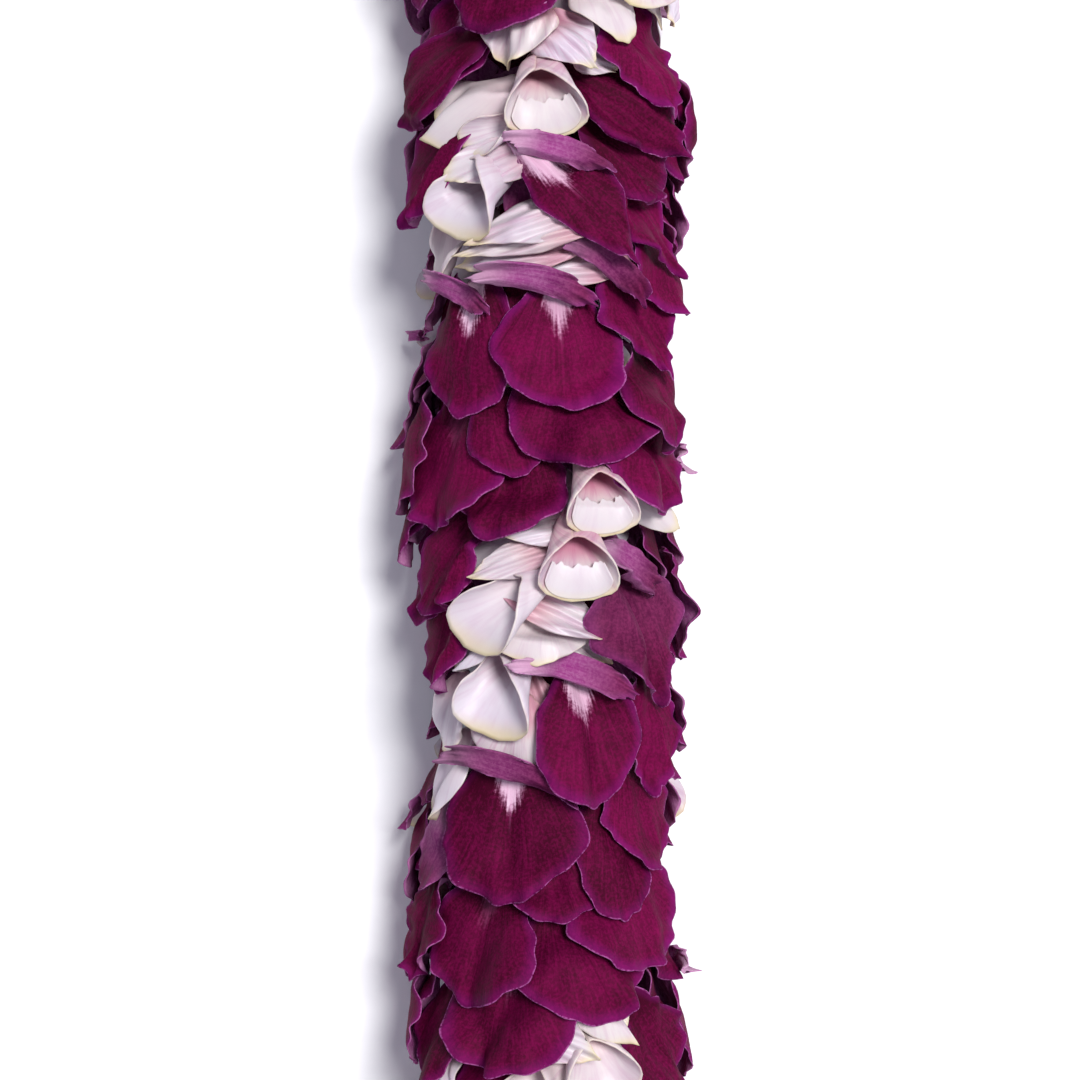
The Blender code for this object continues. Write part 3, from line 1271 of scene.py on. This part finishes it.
def laid(kind: Kind, along: float, around: float, length: float, width: float, **more: float) -> PetalPlace:
    """Places one listed petal, with its lengths given in millimetres.

    Args:
        kind: the kind of petal.
        along: the place of its blade along the string.
        around: the angle round the string.
        length: from base to tip.
        width: across the middle.
        more: any of the other values of PetalPlace, with the lift in millimetres too.

    Returns:
        The petal.
    """
    more["lift"] = more.get("lift", 0.0) * MM
    seed = int(1000 + 7 * along + 3 * around) % 997
    return PetalPlace(kind, along * MM, around, length * MM, width * MM, seed=seed, by_hand=True, **more)


def wine_on_straight_run() -> list[PetalPlace]:
    """Lists the wine petals of the straight run from its +Y end, and two plain rows down its sides.

    Returns:
        The petals, which cover its upper half and the outer and inner side.
    """
    broad, flared, lance, fold = Kind.BROAD, Kind.FLARED, Kind.LANCE, Kind.FOLD
    outer_side = (-105, -90, -75, -60, -45, -30, -15, 0, 15, 40, 55, 70, 85, 100)
    inner_side = (-88, -73, -58, -43, -28, -13, 1, 16, 31, 46, 61, 76, 91)
    return [
        laid(broad, -119, 107, 29, 27, turn=-8, lift=1.5),
        laid(flared, -106.5, 139, 26, 24, turn=-15, blaze=0.8),
        laid(flared, -99, 143, 30, 20, turn=-52, lift=1.5),
        laid(broad, -100, 15, 27, 22, turn=10, lift=-4.0),
        laid(broad, -84, 15, 27, 22, turn=10, lift=-4.0),
        laid(lance, -104, 44, 27, 24, turn=10),
        laid(lance, -91.5, 53, 34, 18, turn=56, lift=1.5),
        laid(flared, -81, 143, 34, 23, turn=-35, lift=1.5),
        laid(lance, -71, 78, 33, 15, turn=38, lift=2.0, blaze=0.9, twist=20),
        laid(fold, -81.5, 84, 19, 9, turn=74, lift=2.6, flush=0.9),
        laid(broad, -74, 99, 18, 13, lift=-2.5, flush=0.6),
        laid(lance, -69, 47, 30, 17, turn=38, lift=1.4, twist=15),
        laid(broad, -83, 52, 26, 24, turn=60, lift=0.2),
        laid(lance, -49, 45, 31, 22, turn=28, lift=0.8, twist=-25),
        laid(flared, -60, 30, 27, 24, turn=20, lift=0.0),
        laid(fold, -53.0, 127, 18, 8, turn=62, lift=2.2, flush=0.8),
        laid(fold, -54.8, 92, 25, 9, turn=80, lift=2.4, flush=0.85),
        laid(fold, -58, 64, 22, 8, turn=56, lift=1.2, flush=0.4),
        laid(broad, -40.5, 126, 31, 27, turn=-4, lift=1.2, blaze=1.0),
        laid(broad, -46, 105, 22, 27, lift=-0.6),
        laid(broad, -40.3, 84, 29, 28, turn=3, lift=1.7, blaze=0.75),
        laid(broad, -28, 77, 28, 31, turn=4, lift=0.3),
        laid(flared, -30, 36, 26, 24, turn=14, lift=0.8),
        laid(broad, -20, 42, 32, 30, turn=14, lift=0.4),
        laid(broad, -15.6, 141, 30, 30, turn=-10, lift=0.2, blaze=0.1),
        laid(broad, -22.5, 106, 20, 18, turn=24, lift=-0.3),
        laid(broad, -13, 108, 27, 27, turn=-6, lift=0.1, blaze=0.15),
        laid(broad, 4.7, 139, 28, 20, turn=-30, lift=0.2),
        laid(broad, 21, 143, 25, 22, turn=-6, lift=0.0),
        laid(flared, 6, 158, 26, 22, turn=-8, lift=0.4),
        laid(lance, 17, 48, 37, 28, turn=14, lift=1.6, flush=0.15, twist=-15),
        laid(fold, 5.0, 50, 18, 13, turn=60, lift=1.0, flush=0.75),
        laid(lance, 40, 40, 30, 20, turn=2, lift=0.8),
        laid(flared, 33, 26, 26, 22, turn=4, lift=-1.0),
        laid(fold, 26.8, 76, 26, 10, turn=76, lift=2.4, flush=0.9),
        laid(broad, 41.5, 73, 32, 23, turn=4, lift=1.8, blaze=0.95),
        laid(fold, 47.2, 104, 30, 9, turn=76, lift=2.2, flush=0.5),
        laid(broad, 61.3, 107, 33, 33, turn=-2, lift=1.7, blaze=1.0),
        laid(broad, 58, 42, 26, 22, turn=8, lift=-0.6),
        laid(broad, 66.5, 60, 30, 19, turn=3, lift=1.0),
        laid(broad, 70, 86, 23, 22, turn=10, lift=-0.3),
        laid(broad, 78, 50, 29, 30, turn=18, lift=0.3),
        laid(broad, 85, 122, 29, 29, turn=-8, lift=0.3, blaze=0.12),
        laid(broad, 87, 73, 29, 30, turn=22, lift=0.4),
        laid(broad, 99, 108, 29, 28, turn=-3, lift=0.4, blaze=0.4),
        laid(lance, 84, 158, 24, 18, turn=-12, lift=0.8),
        laid(flared, 67, 152, 20, 15, turn=-20, flush=0.6),
        laid(lance, 110, 32, 28, 23, turn=24, lift=0.5),
        laid(flared, 106, 147, 27, 21, turn=-8, lift=0.3),
        laid(broad, 115, 104, 29, 28, turn=0, lift=0.0),
        *(laid(broad, along, -3, 29, 27, turn=8, lift=-2.6) for along in outer_side),
        *(laid(broad, along, 183, 29, 27, turn=-8, lift=-2.6) for along in inner_side),
    ]


def white_on_straight_run() -> list[PetalPlace]:
    """Lists the white petals of the straight run from its +Y end.

    Returns:
        The petals, in the bands where the spiral brings white to its upper half.
    """
    trumpet, calla, tube, hood = Kind.TRUMPET, Kind.CALLA, Kind.TUBE, Kind.HOOD
    blade, pleated = Kind.BLADE, Kind.PLEATED
    return [
        laid(pleated, -107.6, 102, 19, 15, turn=-12, flush=0.9),
        laid(blade, -122, 27, 24, 20, turn=10, lift=-1.5, flush=0.3),
        laid(blade, -128, 4, 24, 20, turn=6, lift=-1.5, flush=0.5),
        laid(blade, -114, 63, 20, 17, turn=20, flush=0.3),
        laid(pleated, -105, 83, 17, 14, turn=40, flush=1.0),
        laid(pleated, -102, 70, 14, 9, turn=75, flush=0.9),
        laid(trumpet, -92.5, 91, 21, 10, turn=4, lift=1.5, lip=True, flush=1.0),
        laid(hood, -91.0, 122, 21, 25, turn=-58, lift=1.0, flush=0.0),
        laid(calla, -85.5, 109, 13, 6.5, turn=-55, spin=15, lift=0.6, flush=0.6),
        laid(pleated, -80, 108, 22, 12, turn=-64, lift=0.0, flush=0.9),
        laid(calla, -73.0, 117, 23, 11, turn=-16, spin=18, lift=1.0, flush=0.5),
        laid(blade, -63, 141, 21, 15, turn=-4, flush=0.3),
        laid(pleated, -67, 95, 27, 11, turn=-66, lift=0.6, flush=0.9),
        laid(pleated, -63.5, 98, 28, 9, turn=-74, lift=0.3, flush=0.7),
        laid(pleated, -60, 103, 27, 10, turn=-80, lift=0.0, flush=0.9),
        laid(pleated, -58, 82, 27, 10, turn=-86, lift=-0.5, flush=1.0),
        laid(trumpet, -9.5, 72, 20, 9.2, turn=0, lift=1.2, lip=True, flush=1.5),
        laid(blade, -8, 39, 23, 11, turn=60, lift=1.6),
        laid(trumpet, 4.0, 80, 20, 10, turn=0, lift=1.8, lip=True, flush=1.5),
        laid(calla, 13.5, 106, 23, 10.5, turn=-36, spin=20, lift=0.8, flush=0.3),
        laid(pleated, 4.5, 103, 16, 8, turn=-66, flush=0.6),
        laid(blade, 1.5, 114, 18, 13, turn=-50, lift=-1.5, flush=0.4),
        laid(pleated, -2.5, 92, 15, 8, turn=-78, flush=0.6),
        laid(pleated, 15, 85, 24, 10, turn=62, lift=1.0, flush=1.0),
        laid(pleated, 17, 80, 23, 9, turn=72, lift=0.7, flush=0.9),
        laid(pleated, 20, 78, 21, 9, turn=52, lift=0.4, flush=1.0),
        laid(blade, 19.5, 93, 14, 19, turn=-4, lift=1.4, flush=0.3),
        laid(blade, 23, 122, 16, 9, turn=-52, flush=0.3),
        laid(calla, 31.0, 108, 24, 11.5, turn=-10, spin=16, lift=1.0, flush=0.4),
        laid(pleated, 38, 91, 20, 11, turn=20, lift=-1.2, flush=0.9),
        laid(blade, 42.5, 118, 18, 15, turn=10, lift=-2.2, flush=0.4),
        laid(blade, 37.3, 139, 19, 15, turn=-2, flush=0.3),
        laid(blade, 41, 103, 17, 18, turn=-10, lift=0.0, flush=1.0),
        laid(pleated, 45, 96, 18, 10, turn=64, lift=-0.4, flush=1.0),
        laid(blade, 50, 139, 24, 12, turn=-26, flush=0.2),
        laid(blade, 97, 66, 20, 17, turn=24, lift=0.5, flush=0.5),
        laid(trumpet, 109, 72, 21, 10.5, turn=8, lift=1.0, flush=0.6),
        laid(calla, 116, 96, 23, 11, turn=-20, spin=20, lift=0.8, flush=0.5),
        laid(pleated, 103, 90, 20, 12, turn=60, flush=0.8),
    ]


@dataclass
class Arrangement:
    """Decides what petals the lei has: a few listed one by one, and the rest by the rule of the spiral.

    Lengths and widths picked by chance are in millimetres here.

    Attributes:
        path: the string.
        wine_petals: the wine petals in one layer.
        white_petals: the white petals in one layer.
        wine_lengths: the shortest and longest wine petal.
        wine_widths: the narrowest and widest one.
        blazed: the share of wine petals that have a pale mark.
        blazes: how strong such a mark is.
        white_lengths: the shortest and longest white petal, laid flat.
        white_widths: the narrowest and widest one.
        white_shares: how often each kind of white petal comes.
        cone_length: the length of a rolled petal beside a flat one.
        hood_width: the width of a hood beside the other white petals.
        tongued: the share of trumpets that have a tongue.
        fold_widths: the narrowest and widest fold.
        wine_margin: how far from level the upper half whose petals are listed one by one starts, for wine
            petals.
        white_margin: the same for white ones, where a minus goes below the string.
    """

    path: StringPath
    wine_petals: int = 5
    white_petals: int = 3
    wine_lengths: Range = (27, 32)
    wine_widths: Range = (24, 30)
    blazed: float = 0.3
    blazes: Range = (0.3, 0.8)
    white_lengths: Range = (21, 26)
    white_widths: Range = (10, 12.5)
    white_shares: tuple[float, ...] = (0.28, 0.20, 0.14, 0.10, 0.13, 0.15)
    cone_length: float = 0.85
    hood_width: float = 2.0
    tongued: float = 0.7
    fold_widths: Range = (8, 11)
    wine_margin: float = 4.0
    white_margin: float = -40.0

    def by_rule(self, hub: float, number: int, wine: bool) -> list[PetalPlace]:
        """Spreads one layer of petals round the string, each a little out of its even place.

        Args:
            hub: where along the string the layer starts.
            number: the layer's number, which its irregularities come from.
            wine: whether it is a layer of wine petals.

        Returns:
            The petals, and for a wine layer a fold over the last one.
        """
        chance = np.random.default_rng(7919 * number + (1 if wine else 2))
        along = hub + HUB_TO_BLADE
        count = self.wine_petals if wine else self.white_petals
        share = WINE_SHARE if wine else WHITE_SHARE
        middle = self.path.white_centre(along) + (180.0 if wine else 0.0)
        stagger = 0.25 if number % 2 else -0.25
        petals = []
        for index in range(count):
            slot = (index + 0.5 + stagger * (0.6 if wine else 0.4)) / count - 0.5
            around = (middle + share * slot + chance.normal(0, 4)) % 360.0
            place = along + chance.normal(0, 1.8) * MM
            petals.append(self.one(chance, wine, place, around, index))
        if wine:
            petals.append(self.fold_over(petals[-1], chance))
        return petals

    def one(
        self, chance: np.random.Generator, wine: bool, along: float, around: float, index: int
    ) -> PetalPlace:
        """Picks the kind and size of one petal of a layer by chance.

        Args:
            chance: the source of its irregularities.
            wine: whether it is a wine petal.
            along: its place along the string.
            around: its angle round the string.
            index: its number in the layer.

        Returns:
            The petal.
        """
        seed = int(chance.integers(1, 996))
        lean = chance.normal(0, 12)
        lift = (chance.uniform(0.0, 1.0) + (0.9 if index % 2 else 0.0)) * MM
        if wine:
            side = abs(math.cos(math.radians(around))) > 0.75
            kinds = (Kind.FLARED, Kind.BROAD, Kind.BROAD) if side else (Kind.BROAD, Kind.BROAD, Kind.FLARED)
            kind = kinds[int(chance.integers(3))]
            length = chance.uniform(*self.wine_lengths) * MM
            width = chance.uniform(*self.wine_widths) * MM
            blaze = float(chance.random() < self.blazed) * chance.uniform(*self.blazes)
            twist = chance.normal(0, 7)
            return PetalPlace(kind, along, around, length, width, lean, lift, 0.0, twist, blaze, seed=seed)
        kinds = (Kind.TRUMPET, Kind.CALLA, Kind.TUBE, Kind.HOOD, Kind.BLADE, Kind.PLEATED)
        kind = kinds[int(chance.choice(len(kinds), p=self.white_shares))]
        length = chance.uniform(*self.white_lengths) * MM
        width = chance.uniform(*self.white_widths) * MM * (self.hood_width if kind is Kind.HOOD else 1.0)
        length = length * (self.cone_length if isinstance(kind.value, ConeForm) else 1.0)
        spin = chance.uniform(-60, 60) if kind in (Kind.CALLA, Kind.TUBE) else 0.0
        flush = chance.uniform(0.1, 0.9)
        lip = kind is Kind.TRUMPET and chance.random() < self.tongued
        return PetalPlace(
            kind, along, around, length, width, 2.2 * lean, lift, spin, flush=flush, lip=lip, seed=seed
        )

    def fold_over(self, petal: PetalPlace, chance: np.random.Generator) -> PetalPlace:
        """Rolls a lilac edge back over the base of a wine petal.

        Args:
            petal: the wine petal.
            chance: the source of its irregularities.

        Returns:
            The fold, which lies across the petal.
        """
        return PetalPlace(
            Kind.FOLD,
            petal.along - 0.42 * petal.length,
            petal.around,
            petal.width * chance.uniform(0.7, 0.95),
            chance.uniform(*self.fold_widths) * MM,
            petal.turn + chance.uniform(60, 80),
            petal.lift + 1.0 * MM,
            flush=0.8,
            seed=petal.seed + 1,
        )

    def is_by_hand(self, petal: PetalPlace, wine: bool) -> bool:
        """Tells whether a petal's place is on the stretch whose petals are listed one by one in its colour.

        Args:
            petal: the petal.
            wine: whether it is a wine petal.

        Returns:
            True where it is, so that the rule lays no petal there.
        """
        half = self.path.length / 2
        along = (petal.along + half) % self.path.length - half
        margin = self.wine_margin if wine else self.white_margin
        return abs(along) < HAND_LAID_REACH and margin < (petal.around + 90) % 360 - 90 < 180.0 - margin

    def rows(self, wine: bool) -> list[list[PetalPlace]]:
        """Puts the petals of one colour in rows.

        Args:
            wine: whether it is the wine petals.

        Returns:
            The petals of each row, from the knot round to the knot.
        """
        path = self.path
        by_hand = wine_on_straight_run() if wine else white_on_straight_run()
        rows = []
        for row in range(ROWS):
            start = path.first_row + row * path.row_length
            petals = [
                petal
                for petal in by_hand
                if start <= petal.along - HUB_TO_BLADE < start + path.row_length
            ]
            for layer in range(LAYERS_PER_ROW):
                hub = start + path.row_length * (layer + (0.0 if wine else 0.5)) / LAYERS_PER_ROW
                made = self.by_rule(hub, LAYERS_PER_ROW * row + layer, wine)
                petals += [petal for petal in made if not self.is_by_hand(petal, wine)]
            rows.append(petals)
        return rows


@dataclass
class Cluster:
    """The petals of one row and colour, with the joined flower bases that hold them on the string.

    Attributes:
        node: the CAD node that it stands for.
        hubs: where its layers start along the string.
        wine: whether its petals are wine-red.
        petals: the petals.
        near: whether it is on the straight run, where petals have more points.
        sheets: the petals' surfaces, as they are laid.
        fine_steps: the points along each side of a petal's grid on the straight run.
        plain_steps: the same elsewhere.
        clear: how much less far round the string than the petals their bases go, in degrees.
    """

    node: str
    hubs: list[float]
    wine: bool
    petals: list[PetalPlace]
    near: bool
    sheets: list[Sheet] = field(default_factory=list)
    fine_steps: int = 29
    plain_steps: int = 15
    clear: float = 6.0

    def lay(self, maker: PetalMaker, petal: PetalPlace) -> None:
        """Lays one of its petals over those that are already there."""
        self.sheets += maker.sheets(petal, self.fine_steps if self.near else self.plain_steps)

    def build(self, bases: FlowerBases, material: bpy.types.Material) -> bpy.types.Object:
        """Builds and dresses the cluster, once its petals are laid.

        Args:
            bases: what works out the flower bases.
            material: the petals' finish.

        Returns:
            The cluster's object, which stands for its CAD node.
        """
        share = (WINE_SHARE if self.wine else WHITE_SHARE) - self.clear
        for number, hub in enumerate(self.hubs):
            centre = bases.path.white_centre(hub + HUB_TO_BLADE) + (180.0 if self.wine else 0.0)
            self.sheets.append(bases.sheet(hub, centre, share, number, self.plain_steps))
        obj = mesh_object(self.node.replace("petals", "row"), self.sheets, material)
        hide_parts(self.node)
        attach(obj, "root")
        return obj


@dataclass
class Thread:
    """The string: two strands twisted together, in stretches that meet inside the flowers.

    Attributes:
        path: the line that it follows.
        radius: its radius.
        stretches: how many pieces it is made in.
        lay: the length in which a strand goes round once.
        open_at_knot: how far from the middle of the knot the string ends.
        groove: how deep the groove between the strands is, as a share of the radius.
        knot_size: how wide the knot's curve is for each unit, along the string, across and upwards.
        knot_radius: the string's radius in the knot, where it is drawn tight, as a share of its own.
    """

    path: StringPath
    radius: float = 0.8 * MM
    stretches: int = 12
    lay: float = 4.0 * MM
    open_at_knot: float = 2.0 * MM
    groove: float = 0.20
    knot_size: Triple = (0.50 * MM, 0.55 * MM, 0.62 * MM)
    knot_radius: float = 0.62

    def surface(self, first: float, last: float, around: int = 10) -> Sheet:
        """Works out one stretch as a closed tube with two lobes, which turn once in each lay.

        The radius at an angle a is r (1 - groove + groove |cos(a - turn)|), and the ends close at the
        middle.

        Args:
            first: where along the string it starts.
            last: where it ends.
            around: the points round it.

        Returns:
            The tube's rings and then its two end points, with about a ring to each millimetre.
        """
        count = int((last - first) / MM) + 2
        along = np.linspace(first, last, count)
        angle = np.linspace(0.0, math.tau, around, endpoint=False)
        s, a = np.meshgrid(along, angle, indexing="ij")
        lobe = np.abs(np.cos(a - math.tau * s / self.lay))
        radius = self.radius * (1.0 - self.groove + self.groove * lobe)
        points = self.path.points(s, radius * np.cos(a), radius * np.sin(a))
        ends = self.path.points(np.array([first, last]), np.zeros(2), np.zeros(2))
        place = np.stack([a, s, lobe], axis=-1).reshape(-1, 3)
        place = np.concatenate([place, [[0.0, first, 1.0], [0.0, last, 1.0]]])
        every = np.concatenate([points.reshape(-1, 3), ends])
        return Sheet(around, every, place)

    def faces(self, count: int, around: int) -> list[tuple[int, ...]]:
        """Joins a tube's rings, and closes its ends with fans.

        Args:
            count: the rings.
            around: the points round each.

        Returns:
            The corner numbers of all faces.
        """
        index = np.arange(count * around).reshape(count, around)
        after = np.roll(index, -1, axis=1)
        corners = (index[:-1], after[:-1], after[1:], index[1:])
        sides = np.stack([corner.ravel() for corner in corners], axis=1)[:, ::-1]
        start, end = count * around, count * around + 1
        first = [(start, b, a) for a, b in zip(after[0], index[0])]
        last = [(end, a, b) for a, b in zip(after[-1], index[-1])]
        return [*map(tuple, sides), *first, *last]

    def build(self, material: bpy.types.Material) -> list[bpy.types.Object]:
        """Builds the stretches, from one side of the knot round to the other.

        Args:
            material: the string's finish.

        Returns:
            Their objects, which together stand for the string's CAD node.
        """
        start = -self.path.length / 2 + self.open_at_knot
        bounds = np.linspace(start, -start, self.stretches + 1)
        made = []
        for number, (first, last) in enumerate(zip(bounds, bounds[1:])):
            sheet = self.surface(first, last)
            count = (len(sheet.points) - 2) // sheet.steps
            name = f"thread_{number + 1:02d}"
            made.append(self.finish(name, sheet, self.faces(count, sheet.steps), material, "thread"))
        return made

    def finish(
        self, name: str, sheet: Sheet, faces: list[tuple[int, ...]], material: bpy.types.Material, node: str
    ) -> bpy.types.Object:
        """Finishes one stretch, or the knot.

        Args:
            name: the object's name.
            sheet: its points and marks.
            faces: its faces' corner numbers.
            material: its finish.
            node: the CAD node that it stands for.

        Returns:
            The object, at the origin.
        """
        mesh = bpy.data.meshes.new(name)
        mesh.from_pydata(sheet.points, [], faces)
        layer = mesh.attributes.new("petal_place", "FLOAT_VECTOR", "POINT")
        layer.data.foreach_set("vector", sheet.place.astype(np.float32).ravel())
        mesh.materials.append(material)
        mesh.shade_smooth()
        obj = bpy.data.objects.new(name, mesh)
        bpy.context.scene.collection.objects.link(obj)
        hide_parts(node)
        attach(obj, "root")
        return obj

    def build_knot(self, material: bpy.types.Material) -> bpy.types.Object:
        """Builds the knot: the string drawn tight in a closed curve that loops through itself.

        The curve is (sin t + 2 sin 2t, cos t - 2 cos 2t, -sin 3t), scaled down, with a circle carried
        along it.

        Args:
            material: the string's finish.

        Returns:
            The knot's object, which stands for its CAD node.
        """
        count, around = 96, 8
        t = np.linspace(0.0, math.tau, count, endpoint=False)
        x, y = np.sin(t) + 2 * np.sin(2 * t), np.cos(t) - 2 * np.cos(2 * t)
        curve = np.stack([x, y, -np.sin(3 * t)], axis=1)
        curve = curve * self.knot_size
        ahead = np.roll(curve, -1, axis=0) - np.roll(curve, 1, axis=0)
        ahead /= np.linalg.norm(ahead, axis=1, keepdims=True)
        side = np.cross(ahead, curve + [0.0, 0.0, 3.0 * MM])
        side /= np.linalg.norm(side, axis=1, keepdims=True)
        third = np.cross(ahead, side)
        angle = np.linspace(0.0, math.tau, around, endpoint=False)
        ring = side[:, None] * np.cos(angle)[:, None] + third[:, None] * np.sin(angle)[:, None]
        tube = (curve[:, None] + self.knot_radius * self.radius * ring).reshape(-1, 3)
        along = -self.path.length / 2 + tube[:, 0]
        points = self.path.points(along, tube[:, 1], tube[:, 2])
        place = np.stack([np.tile(angle, count), np.repeat(t, around) * MM, 0 * points[:, 0] + 0.6], axis=1)
        index = np.arange(count * around).reshape(count, around)
        after, below = np.roll(index, -1, axis=1), np.roll(index, -1, axis=0)
        corner = np.roll(after, -1, axis=0)
        faces = np.stack([each.ravel() for each in (index, after, corner, below)], axis=1)
        sheet = Sheet(around, points, place)
        return self.finish("knot", sheet, [tuple(face) for face in faces], material, "thread_knot")


@dataclass
class Studio:
    """The pale surface, the soft light and the camera that looks straight down on the straight run.

    Attributes:
        path: the string, which the camera is centred on.
        seen: the width that the camera sees at the top of the lei.
        lens: the camera's focal length in millimetres.
        top: the height where that width is measured.
        aside: how far beside the string the camera stands.
        pale: the surface's two shades.
        half_side: half the side of the square surface.
        surround: the colour of the light from all round.
        surround_strength: how strong that light is.
        sun_towards: the direction to the one far light, which casts the soft shadow.
        sun_width: how wide that light looks, in degrees, which sets how soft its shadow is.
        sun_strength: how strong it is.
    """

    path: StringPath
    seen: float = 230 * MM
    lens: float = 85.0
    top: float = 45 * MM
    aside: float = -1.5 * MM
    pale: tuple[Colour, Colour] = ((0.93, 0.93, 0.945, 1.0), (0.965, 0.965, 0.975, 1.0))
    half_side: float = 6.0
    surround: Colour = (0.82, 0.83, 1.0, 1.0)
    surround_strength: float = 0.50
    sun_towards: Triple = (0.30, 0.26, 1.0)
    sun_width: float = 18.0
    sun_strength: float = 3.3

    def build_surface(self) -> None:
        """Builds the surface: a wide pale sheet with a faint fine grain."""
        paint = Paint("pale_surface")
        grain = paint.noise(paint.here(), 500.0)
        colour = paint.blend(grain, *self.pale)
        paint.finish(Base_Color=colour, Roughness=0.9, Specular_IOR_Level=0.1)
        mesh = bpy.data.meshes.new("surface")
        half = self.half_side
        corners = [(-half, -half, 0), (half, -half, 0), (half, half, 0), (-half, half, 0)]
        mesh.from_pydata(corners, [], [(0, 1, 2, 3)])
        mesh.materials.append(paint.material)
        surface = bpy.data.objects.new("surface", mesh)
        bpy.context.scene.collection.objects.link(surface)

    def build_light(self) -> None:
        """Builds an even pale surround, and one wide far light high on the +X and +Y side."""
        world = bpy.data.worlds.new("surround")
        world.use_nodes = True
        ground = world.node_tree.nodes["Background"]
        ground.inputs["Color"].default_value = self.surround
        ground.inputs["Strength"].default_value = self.surround_strength
        bpy.context.scene.world = world
        key = bpy.data.lights.new("key_light", "SUN")
        key.angle = math.radians(self.sun_width)
        key.energy = self.sun_strength
        light = bpy.data.objects.new("key_light", key)
        across, along, height = self.sun_towards
        light.location = (self.path.run_x + across, along, height)
        tilt = math.atan2(math.hypot(across, along), height)
        light.rotation_euler = (tilt, 0.0, math.atan2(along, across) + math.pi / 2)
        bpy.context.scene.collection.objects.link(light)

    def build_camera(self) -> None:
        """Builds the camera, straight above the run, with +Y at the top of what it sees."""
        data = bpy.data.cameras.new("camera")
        data.lens = self.lens
        camera = bpy.data.objects.new("camera", data)
        distance = self.seen * self.lens / data.sensor_width
        camera.location = (self.path.run_x + self.aside, 0.0, self.top + distance)
        data.clip_start = 0.01
        bpy.context.scene.collection.objects.link(camera)
        bpy.context.scene.camera = camera


def clusters_of(path: StringPath) -> list[Cluster]:
    """Chooses the petals of both colours.

    Args:
        path: the string.

    Returns:
        The clusters, with their petals chosen but not yet laid.
    """
    arrangement = Arrangement(path)
    clusters = []
    for wine, colour in ((True, "wine"), (False, "white")):
        for row, petals in enumerate(arrangement.rows(wine)):
            start = path.first_row + row * path.row_length + (0.0 if wine else path.row_length / 2)
            hubs = [start, start + path.row_length / 2]
            near = abs(start + path.row_length / 2) < FINE_REACH
            clusters.append(Cluster(f"{colour}_petals_{row + 1:02d}", hubs, wine, petals, near))
    return clusters


def build_lei(path: StringPath) -> None:
    """Builds every cluster of petals, the string and its knot, and reports each.

    The petals overlap like roof tiles, so the one farthest along the string is laid first.

    Args:
        path: the string.
    """
    maker = PetalMaker(path, Layers(path.length))
    clusters = clusters_of(path)
    pairs = [(petal, cluster) for cluster in clusters for petal in cluster.petals]
    for petal, cluster in sorted(pairs, key=lambda pair: pair[0].order, reverse=True):
        cluster.lay(maker, petal)
    finishes = {True: WineFinish().make(), False: WhiteFinish().make()}
    bases = FlowerBases(path, maker.soft_height)
    for cluster in clusters:
        obj = cluster.build(bases, finishes[cluster.wine])
        log.info("%s: %d petals, %d faces", obj.name, len(cluster.petals), len(obj.data.polygons))
    string = Thread(path)
    material = StringFinish().make()
    for obj in (*string.build(material), string.build_knot(material)):
        log.info("%s: %d faces", obj.name, len(obj.data.polygons))


def main() -> None:
    """Builds the studio and the lei in order."""
    logging.basicConfig(level=logging.INFO, format="%(name)s: %(message)s")
    bpy.context.scene.view_settings.view_transform = "Standard"
    path = StringPath.from_frame(Thread.radius)
    studio = Studio(path)
    studio.build_camera()
    studio.build_surface()
    studio.build_light()
    build_lei(path)


if __name__ == "__main__":
    main()
